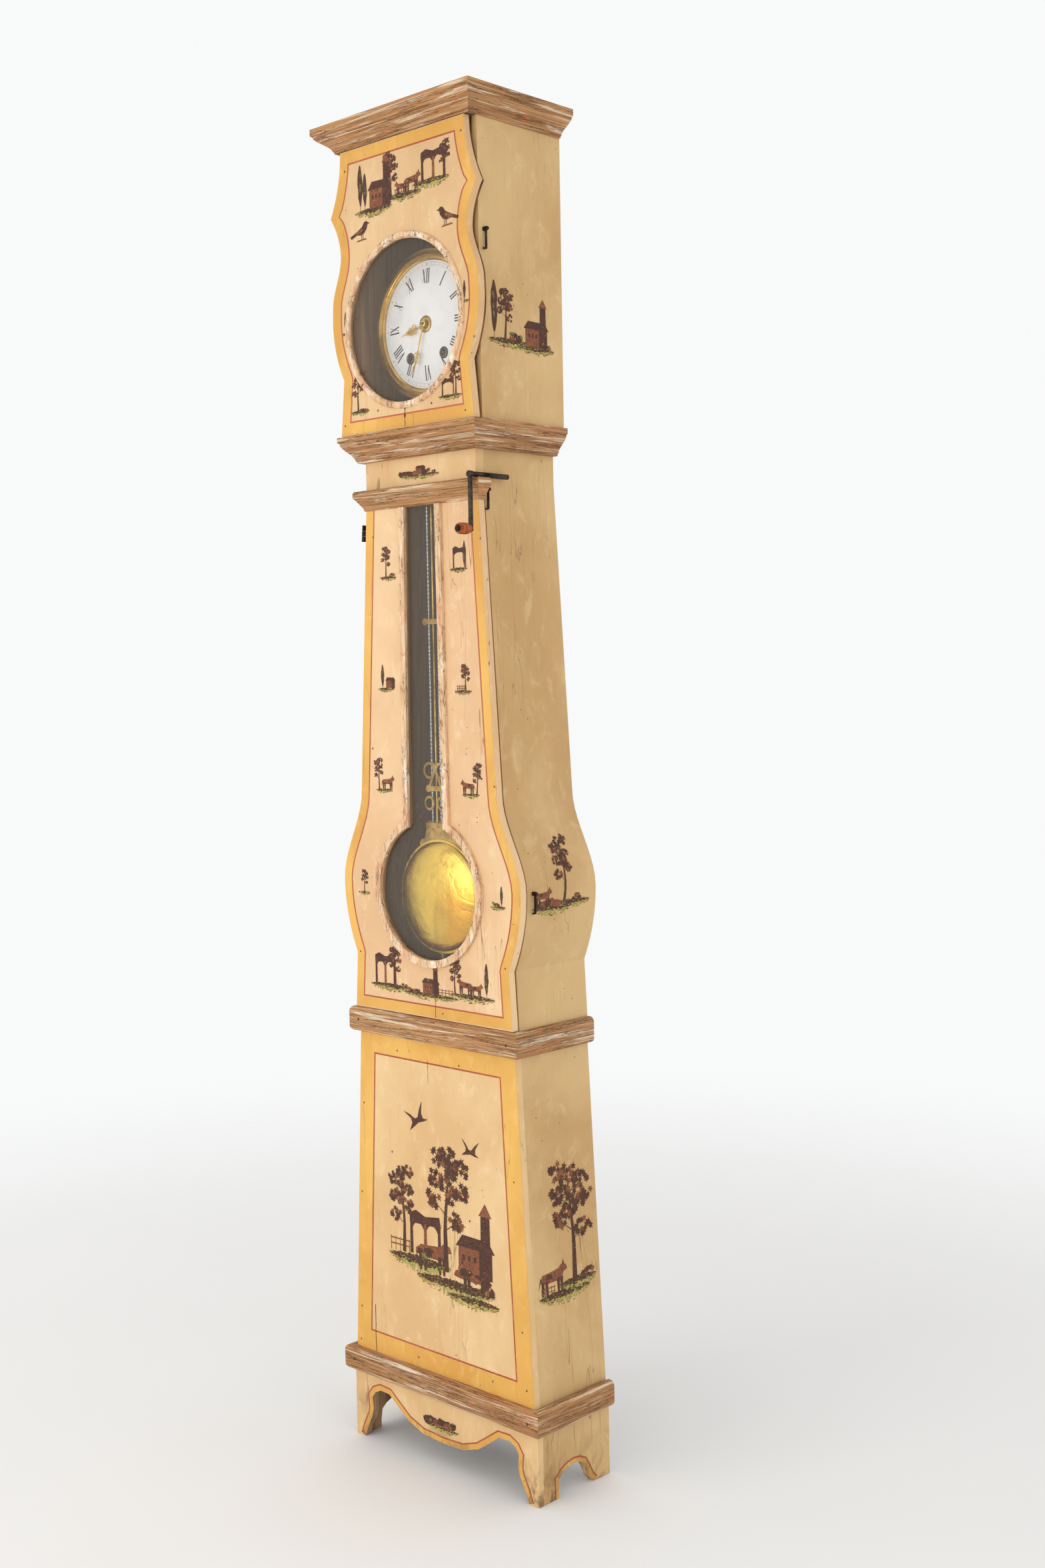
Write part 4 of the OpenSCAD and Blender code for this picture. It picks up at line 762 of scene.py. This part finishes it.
# Painted warm reflection: orange on the right side of the bob's lower part
painted_warm_reflection = bob.times(bob.step(painted_light_ramp, 0.0, 0.06), bob.step(height, 1.09, 1.03))
tone = bob.mix(bob.times(painted_warm_reflection, 0.75), tone, srgb(222, 156, 40))
low = bob.step(bob.noise(9, 4, 0.6, 1.2, (8, 1, 1)), 0.52, 0.7, 0, 0.5)
bob.colour(bob.mix(low, tone, srgb(176, 134, 52)))
bob.roughness(bob.step(small, 0.35, 0.7, 0.26, 0.36))
bob.bump(bob.plus(wave, bob.times(small, 0.04)), 0.006, 0.5)
dress(bob.mat, "pendulum_bob")

glass = Look("old_window_glass", rough=0.03, specular=0.6)
set_inputs(glass.bsdf, {"Base Color": (0.5, 0.43, 0.35, 1), "Alpha": 0.09})
glass.bump(glass.noise((7, 7, 5), 3, 0.5, 0.6), 0.0012, 0.12)
dress(glass.mat, "hood_glass", "trunk_glass")

# Ochre borders, red lines and country scenes on the boards
pedestal_edge = edge(PEDESTAL)

hood_art = Painted(front(HOOD_DOOR_Y))
hood_art.borders(edge(HOOD_DOOR), 1860, 2355.5, 0.8, 21.5, 24.3)
s = Scene(hood_art, 11)
s.ground(-118, -22, 2243, 9)
s.ground(-40, 52, 2254, 8)
s.ground(30, 120, 2264, 9)
s.cypress(-104, 2246, 58)
s.cypress(-92, 2246, 46)
s.house(-80, 2245, 40, 40, True)
s.tree(-24, 2250, 62, -0.04)
s.fence(-14, 2253, 24, 10)
s.cattle(28, 2257, 26, 1)
s.cattle(2, 2256, 19, -1)
s.arches(52, 2264, 44, 38, 2)
s.tree(108, 2266, 44, 0.05)
s.bush(44, 2262, 10)
s.bird(-104, 2208, 21, 1)
s.bird(112, 2196, 22, -1)
s.ground(-160, -143, 2040, 2.4)
s.cypress(-151, 2041, 27)
s.ground(143, 160, 2052, 2.4)
s.cypress(151, 2053, 24)
s.ground(-140, -92, 1899, 5)
s.tree(-122, 1900, 52, 0.04)
s.rocks(-108, 1900, 16)
s.ground(84, 142, 1900, 5)
s.arches(92, 1901, 22, 22, 1)
s.tree(126, 1901, 44, -0.05)
hood_art.crack(-1, 1861, 1896, 1)
hood_art.chips([(-1, 1880)], 2.2, 4.5, 2)
hood_art.chips([(0, 1893)], 2.6, 2.2, 3)
hood_art.chips([(150, 2330), (-144, 2322), (172, 1990), (148, 1872), (-158, 1878), (66, 1893), (-70, 1896)],
               1.5, 2.1, 10)
hood_art.finish("hood_door_painting", "hood_door")

door_art = Painted(front(DOOR_Y))
door_art.borders(edge(TRUNK_DOOR), 824, 1727, 0.8, 19.5, 22.2, head=False)
s = Scene(door_art, 23)
VIGNETTES = (
    (-88, 1606, (Scene.tree, -6, 1, 40, 0.03), (Scene.bush, 10, 0, 12)),
    (92, 1612, (Scene.arches, -14, 1, 24, 27, 1), (Scene.cypress, 14, 1, 34)),
    (-98, 1408, (Scene.cypress, -11, 0, 32), (Scene.house, -2, 1, 17, 17)),
    (98, 1402, (Scene.tree, 6, 1, 34, -0.04), (Scene.fence, -15, 0, 13, 8)),
    (-110, 1226, (Scene.tree, -14, 1, 42, -0.03), (Scene.cattle, 8, 1, 21, 1)),
    (112, 1224, (Scene.cattle, -7, 1, 21, -1), (Scene.tree, 14, 1, 40, 0.03)),
)
for x, z, *motifs in VIGNETTES:
    s.ground(x - 21, x + 21, z, 4.5)
    for motif, dx, dz, *rest in motifs:
        motif(s, x + dx, z + dz, *rest)
s.ground(-186, -156, 1036, 3.5)
s.tree(-171, 1037, 30, 0.05)
s.ground(154, 190, 1034, 4)
s.bush(166, 1035, 14)
s.cypress(180, 1035, 26)
s.ground(-158, -54, 870, 8)
s.ground(-70, 70, 864, 7)
s.ground(50, 160, 872, 8)
s.arches(-146, 872, 40, 40, 2)
s.tree(-92, 872, 52, -0.04)
s.bush(-70, 869, 14)
s.rocks(-44, 867, 22)
s.house(-20, 866, 30, 24, True)
s.fence(20, 866, 26, 9)
s.tree(62, 872, 48, 0.04)
s.cattle(88, 875, 24, -1)
s.cattle(114, 874, 20, 1)
s.cypress(140, 874, 44)
door_art.crack(12, 825, 905, 4)
door_art.chips([(120, 1690), (-126, 1680), (186, 930), (-186, 925), (30, 834), (146, 1660), (-140, 1300),
                (168, 1240)], 1.3, 1.9, 30)
door_art.finish("trunk_door_painting", "trunk_door")

case_art = Painted(front(FRONT_Y))
case_art.borders(pedestal_edge, 171, 777, 0.3, 38, 41)
s = Scene(case_art, 37)
s.ground(-132, 30, 372, 17)
s.ground(-60, 140, 346, 18)
s.ground(20, 150, 328, 12)
s.house(50, 372, 62, 62, True)
s.rocks(84, 366, 60)
s.tree(18, 366, 168, 0.05)
s.tree(-92, 380, 118, -0.05)
s.arches(-76, 382, 60, 58, 2)
s.cattle(-18, 356, 56, 1)
s.cattle(92, 338, 50, -1)
s.fence(-128, 378, 36, 20)
s.bush(-40, 376, 34)
s.bush(122, 344, 30)
s.flying(-52, 632, 24, 0.2)
s.flying(84, 596, 19, -0.3)
case_art.crack(-176, 172, 262, 6, 1.1)
case_art.crack(-20, 700, 742, 7, 0.5)
case_art.chips([(-195, 640), (-206, 470), (190, 560), (204, 300), (-214, 250), (60, 744), (-100, 750),
                (130, 195), (-60, 190), (212, 200), (-218, 186), (20, 520), (80, 470), (-120, 560)],
               1.4, 2.0, 50)
case_art.finish("pedestal_painting", "case")

apron_art = Painted(front(FRONT_Y))
apron_edge = [(-x, z) for x, z in APRON] + APRON[-2::-1]
apron_art.band(apron_edge, 0.6, 9.5, OCHRE_I, OCHRE_LIFT)
apron_art.band(apron_edge, 9.5, 12.2, RED_I, RED_LIFT)
s = Scene(apron_art, 41)
s.ground(-42, 40, 74, 6)
s.rocks(-8, 77, 54)
s.bush(22, 78, 20)
s.bush(-26, 78, 16)
apron_art.finish("apron_painting", "case")

frieze_art = Painted(front(FRIEZE_Y))
s = Scene(frieze_art, 43)
s.ground(-50, 50, 1780, 5)
s.rocks(-30, 1782, 30)
s.house(-8, 1781, 17, 13)
s.bush(20, 1781, 15)
s.bush(38, 1780, 10)
frieze_art.finish("frieze_painting", "case")

# Side boards: outline, seed and motifs
FLANKS = {
    "hood": ([(HOOD_HW, 0)], 51, (
        (Scene.ground, -58, 44, 1994, 9), (Scene.ground, 10, 106, 1988, 8),
        (Scene.cypress, -42, 1997, 70), (Scene.tree, -16, 1996, 64, 0.03), (Scene.bush, 12, 1995, 26),
        (Scene.house, 34, 1991, 40, 38, True), (Scene.bush, 88, 1989, 16))),
    "trunk": (edge(TRUNK), 61, (
        (Scene.ground, -34, 66, 1030, 10), (Scene.ground, 30, 112, 1036, 8),
        (Scene.tree, 46, 1036, 84, 0.08), (Scene.rocks, 10, 1034, 44),
        (Scene.cattle, -8, 1034, 26, 1), (Scene.bush, 80, 1037, 20))),
    "pedestal": (pedestal_edge, 71, (
        (Scene.ground, -30, 100, 352, 14), (Scene.ground, 20, 118, 366, 12),
        (Scene.tree, 62, 362, 158, -0.03, 1.25), (Scene.cattle, 4, 356, 44, 1),
        (Scene.bush, 96, 370, 26), (Scene.fence, -24, 352, 24, 14))),
}
for sign, way in ((1, "right"), (-1, "left")):
    for part, (outline, seed, motifs) in FLANKS.items():
        side_art = Painted(flank(outline, sign))
        s = Scene(side_art, seed + sign)
        for motif, *rest in motifs:
            motif(s, *rest)
        side_art.finish(part + "_side_painting_" + way, "case")

    arch = [(FRONT_Y + ARCH_FRONT + ARCH_WIDE * a, ARCH_HIGH * b) for a, b in SIDE_ARCH]
    arch_art = Painted(flank([(BASE_HW, 0)], sign))
    arch_art.band(arch, 7.5, 10.5, RED_I, 0.3)
    arch_art.band(arch, 0.5, 7.5, OCHRE_I, OCHRE_LIFT)
    arch_art.finish("side_arch_line_" + way, "case")


# Dial: numerals, minute track, hands
def dial_place(u, v, lift):
    """A point of the dome-shaped enamel; u and v from its middle, in millimetres."""
    rise = half_at([(5.6, 5.5), (5, 44), (3, 77), (-0.5, DIAL_R)], math.hypot(u, v))
    return (u * mm, (DIAL_Y - rise - lift) * mm, (DIAL_Z + v) * mm)


BLACK = Look("dial_black", rough=0.35)
BLACK.colour(srgb(34, 32, 32))
GREY = Look("dial_grey", rough=0.4)
GREY.colour(srgb(148, 148, 150))
figures = Painted(dial_place, [BLACK.mat, GREY.mat])
BLACK_I, GREY_I, FIGURE_LIFT = 0, 1, 0.2
WIDTHS = {"I": 4.6, "V": 10.0, "X": 10.0}
HOURS = ("XII", "I", "II", "III", "IIII", "V", "VI", "VII", "VIII", "IX", "X", "XI")
# Circles that the numerals stand between, and the one where the enamel's slope changes
INNER, OUTER, BEND = 71.0, 96.0, 77.0
THICK, THIN = 2.3, 0.8


def turned(a, r, hour):
    t = math.radians(30 * hour)
    return (a * math.cos(t) + r * math.sin(t), -a * math.sin(t) + r * math.cos(t))


def block(a0, a1, w, r0, r1, hour, look=BLACK_I):
    """A four-sided figure of width w, from a0 at radius r0 to a1 at radius r1."""
    corners = (a0 - w / 2, r0), (a0 + w / 2, r0), (a1 + w / 2, r1), (a1 - w / 2, r1)
    figures.shape([turned(a, r, hour) for a, r in corners], look, FIGURE_LIFT)


def stroke(a0, a1, w, hour, serif=False):
    """A stroke from the inner to the outer circle, of width w."""
    mid = a0 + (a1 - a0) * (BEND - INNER) / (OUTER - INNER)
    block(a0, mid, w, INNER, BEND, hour)
    block(mid, a1, w, BEND, OUTER, hour)
    if serif:
        for a, r in ((a0, INNER), (a1, OUTER)):
            block(a, a, w + 1.8, r - 0.35, r + 0.35, hour)


for hour, word in enumerate(HOURS):
    a = -sum(WIDTHS[c] for c in word) / 2
    for c in word:
        w = WIDTHS[c]
        if c == "I":
            stroke(a + w / 2, a + w / 2, THICK, hour, serif=True)
        elif c == "V":
            stroke(a + w / 2, a + 1.8, THICK, hour)
            stroke(a + w / 2, a + w - 1.4, THIN, hour)
        else:
            stroke(a + w - 1.8, a + 1.8, THICK, hour)
            stroke(a + 1.4, a + w - 1.4, THIN, hour)
        a += w
# The minute track: two thin circles in 120 steps, a line at each minute and a dot at each fifth
for r0, r1 in ((101.2, 101.5), (106.6, 106.9)):
    for i in range(120):
        corners = (r0, i), (r1, i), (r1, i + 1), (r0, i + 1)
        figures.shape([turned(0, r, k / 10) for r, k in corners], GREY_I, FIGURE_LIFT)
for i in range(60):
    block(0, 0, 0.32, 101.3, 106.8, i / 5, GREY_I)
    if i % 5 == 0:
        figures.shape(disc(*turned(0, 104, i / 5), 1.0, 12), BLACK_I, FIGURE_LIFT)
figures.finish("dial_figures", "case")


def lathed(name, profile, centre, material, body, n=40):
    """A ring or disc about an axis along Y; profile is a closed line of (radius, y), centre is (x, z)."""
    verts, faces, m = [], [], len(profile)
    for a, b in disc(0, 0, 1, n):
        verts += [((centre[0] + r * a) * mm, y * mm, (centre[1] + r * b) * mm) for r, y in profile]
    for i in range(n):
        for j in range(m):
            a, b, k = i * m, ((i + 1) % n) * m, (j + 1) % m
            faces.append((a + j, b + j, b + k, a + k))
    shown(name, verts, faces, [material], body, smooth=True)


WIND_X, WIND_Z = 42, 1988
RING = [(4.8, -40.5), (4.8, -42.4), (6.0, -43.6), (8.0, -43.6), (10.0, -42.2), (10.4, -41.2), (9.0, -40.5)]
COLLET = [(3.6, -43.6), (14.5, -43.6), (14.5, -44.4), (12.0, -45.3), (3.6, -45.4)]
BOSS = [(2.4, -49.9), (6.2, -49.9), (5.6, -51.0), (2.4, -51.6)]
DARK_STEEL = metal("grommet_steel", (96, 94, 92), (44, 42, 40), 0.35, 0.6, 150, 8.0)
for side, way in ((-1, "left"), (1, "right")):
    lathed("winding_ring_" + way, RING, (WIND_X * side, WIND_Z), DARK_STEEL, "case")
lathed("centre_collet", COLLET, (0, DIAL_Z), OLD_BRASS, "hour_pipe")
lathed("minute_boss", BOSS, (0, DIAL_Z), BRIGHT_BRASS, "centre_arbor", 24)


def pierced_hand(name, angle, y, parts, body, node):
    """Flat pierced hand, with y its rear face; parts lie along its length, before turning by its angle."""
    verts, faces = [], []
    c, q = math.sin(math.radians(angle)), math.cos(math.radians(angle))

    def plate(*loops):
        """loops: one outline, or an outer and an inner one with as many points."""
        first, n = len(verts), len(loops[0])
        for yy in (y, y - HAND_THICK):
            for loop in loops:
                verts.extend(((u * c + v * q) * mm, yy * mm, (DIAL_Z + u * q - v * c) * mm) for u, v in loop)
        if len(loops) == 1:
            faces.append(tuple(first + n + i for i in range(n)))
            faces.append(tuple(first + i for i in reversed(range(n))))
        for i in range(n):
            j = (i + 1) % n
            a, b, e, f = first, first + n, first + 2 * n, first + 3 * n
            if len(loops) == 1:
                faces.append((a + i, a + j, b + j, b + i))
            else:
                faces.extend([(e + i, e + j, f + j, f + i), (a + j, a + i, b + i, b + j),
                              (a + i, a + j, e + j, e + i), (b + j, b + i, f + i, f + j)])

    plate(disc(0, 0, 6.5, 20), disc(0, 0, 3.2, 20))
    for kind, *rest in parts:
        if kind == "bar":
            plate([(u, -v) for u, v in rest] + [(u, v) for u, v in reversed(rest)])
            continue
        u, v, r, *thick = rest
        for across in ((-v, v) if v else (0,)):
            if thick:
                plate(disc(u, across, r, 20), disc(u, across, r - thick[0], 20))
            else:
                plate(disc(u, across, r, 12))
    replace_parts(shown(name, verts, faces, [BRIGHT_BRASS], body), node)


# Rings and dots: place along and across, radius and thickness; those beside the middle line come in pairs.
# Bars: half an outline, its length and half width
HAND_THICK = 1.2
HOUR_PARTS = [("bar", (5, 1.7), (21, 1.1)), ("dot", 21, 0, 2.1), ("ring", 27, 4.6, 4.4, 1.3),
              ("ring", 34.5, 0, 4.2, 1.3), ("ring", 36.5, 4.4, 3.2, 1.1), ("bar", (22, 0.7), (44, 0.7)),
              ("dot", 42, 3.0, 1.7), ("bar", (41, 1.2), (46, 3.4), (48.5, 1.0), (61.6, 0.2))]
MINUTE_PARTS = [("bar", (5, 1.7), (24, 1.5), (26, 2.2), (28, 1.2), (50, 0.8)), ("dot", 50, 0, 1.9),
                ("dot", 52, 4.4, 1.4), ("ring", 55.5, 3.4, 3.4, 1.1), ("ring", 61.5, 0, 3.5, 1.1),
                ("bar", (51, 0.6), (70, 0.6)), ("dot", 66.5, 3.0, 1.3),
                ("bar", (65, 0.8), (69, 2.8), (71.5, 0.9), (91.3, 0.2))]
pierced_hand("hour_hand_pierced", 256.5, -45.65, HOUR_PARTS, "hour_pipe", "hour_hand")
pierced_hand("minute_hand_pierced", 198, -48.65, MINUTE_PARTS, "centre_arbor", "minute_hand")


def tube(first, rings, n):
    """The faces between rings of n points each."""
    for i in range(rings - 1):
        for k in range(n):
            a, b = first + i * n, (k + 1) % n
            yield (a + k, a + b, a + n + b, a + n + k)


# Beads along the pendulum's steel rods, but none at the braces
BEAD = ((0, 2.3), (1.4, 2.85), (4.2, 2.85), (5.6, 2.3))
BEAD_SIDES, BEAD_PITCH, BEADS_LOW, BEADS_HIGH = 10, 7.2, 1176.0, 1896
BRACES, BRACE_ROOM = (1525, 1230), 8.5
verts, faces = [], []
for x in (-RODS_X, RODS_X):
    z = BEADS_LOW
    while z < BEADS_HIGH:
        if all(abs(z - b) > BRACE_ROOM for b in BRACES):
            faces += tube(len(verts), len(BEAD), BEAD_SIDES)
            for dz, r in BEAD:
                verts += [(u * mm, v * mm, (z + dz) * mm) for u, v in disc(x, RODS_Y, r, BEAD_SIDES)]
        z += BEAD_PITCH
BEAD_STEEL = metal("bead_steel", (176, 190, 194), (96, 104, 106), 0.3, 0.5, 200, 3.0)
shown("pendulum_beads", verts, faces, [BEAD_STEEL], "pendulum", smooth=True)

# Nail heads on the belts
NAIL_R = 2.6
marks = Painted(lambda u, v, lift: (u * mm, (belt_face - lift) * mm, v * mm), [INK_MAT])
for node, hw in (("lower_belt", 224), ("middle_belt", 190)):
    low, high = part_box(node)
    belt_face, middle = low[1] / mm, (low[2] + high[2]) / 2 / mm
    for x in (-hw, hw):
        marks.shape(disc(x, middle, NAIL_R, 12), 0, 0.1)
marks.finish("nail_heads", "case")


def laid_rope(name, node):
    """A three-strand rope in place of its plain node."""
    rise, rings, points, turns = 0.95, 537, 12, 67
    low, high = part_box(node)
    x, y = (low[0] + high[0]) / 2, (low[1] + high[1]) / 2
    radius, length = (high[0] - low[0]) / 2, high[2] - low[2]
    verts = []
    for i in range(rings):
        part = i / (rings - 1)
        for k in range(points):
            t = 2 * math.pi * k / points
            r = radius * (0.86 + 0.14 * math.cos(3 * t))
            t += 2 * math.pi * turns * part
            verts.append((x + r * math.cos(t), y + r * math.sin(t), low[2] + length * part))
    lid = tuple(range(len(verts) - points, len(verts)))
    faces = [tuple(reversed(range(points))), *tube(0, rings, points), lid]
    piece = shown(name, verts, faces, [HEMP], "case", smooth=True)
    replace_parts(piece, node)
    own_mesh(piece)


laid_rope("going_rope_strands", "going_rope")
laid_rope("strike_rope_strands", "strike_rope")

# Floor and light
FLOOR = 30
floor_mesh = bpy.data.meshes.new("floor")
floor_mesh.from_pydata([(x, y, -0.0005) for x, y in rect(-FLOOR, -FLOOR, FLOOR, FLOOR)], [], [(0, 1, 2, 3)])
floor = linked("floor", floor_mesh)
pale = Look("pale_floor", rough=0.7, specular=0.2)
pale.colour(pale.mix(pale.noise(0.8, 4, 0.5), srgb(228, 227, 225), srgb(236, 235, 233)))
gone = pale.add("ShaderNodeVectorMath", operation="LENGTH")
pale.link(pale.place, gone.inputs[0])
pale.link(pale.step(gone.outputs["Value"], 1.1, 3.4, 1.0, 0.0), pale.bsdf.inputs["Alpha"])
floor_mesh.materials.append(pale.mat)

world = bpy.data.worlds.new("studio")
bpy.context.scene.world = world
world.use_nodes = True
set_inputs(world.node_tree.nodes["Background"], {"Color": (0.965, 0.97, 0.975, 1), "Strength": 0.98})


def soft_light(name, at, target, size, power, tint):
    data = bpy.data.lights.new(name, "AREA")
    data.shape = "RECTANGLE"
    data.size, data.size_y = size
    data.energy = power
    data.color = tint
    lamp = linked(name, data)
    lamp.location = at
    lamp.rotation_euler = (Vector(target) - Vector(at)).to_track_quat("-Z", "Y").to_euler()


soft_light("key", (-0.9, -3.7, 1.5), (0, 0, 0.95), (2.4, 1.8), 46, (1, 0.985, 0.96))
soft_light("fill", (3.6, -0.6, 1.4), (0, 0, 0.9), (1.8, 2.2), 14, (1, 0.99, 0.98))
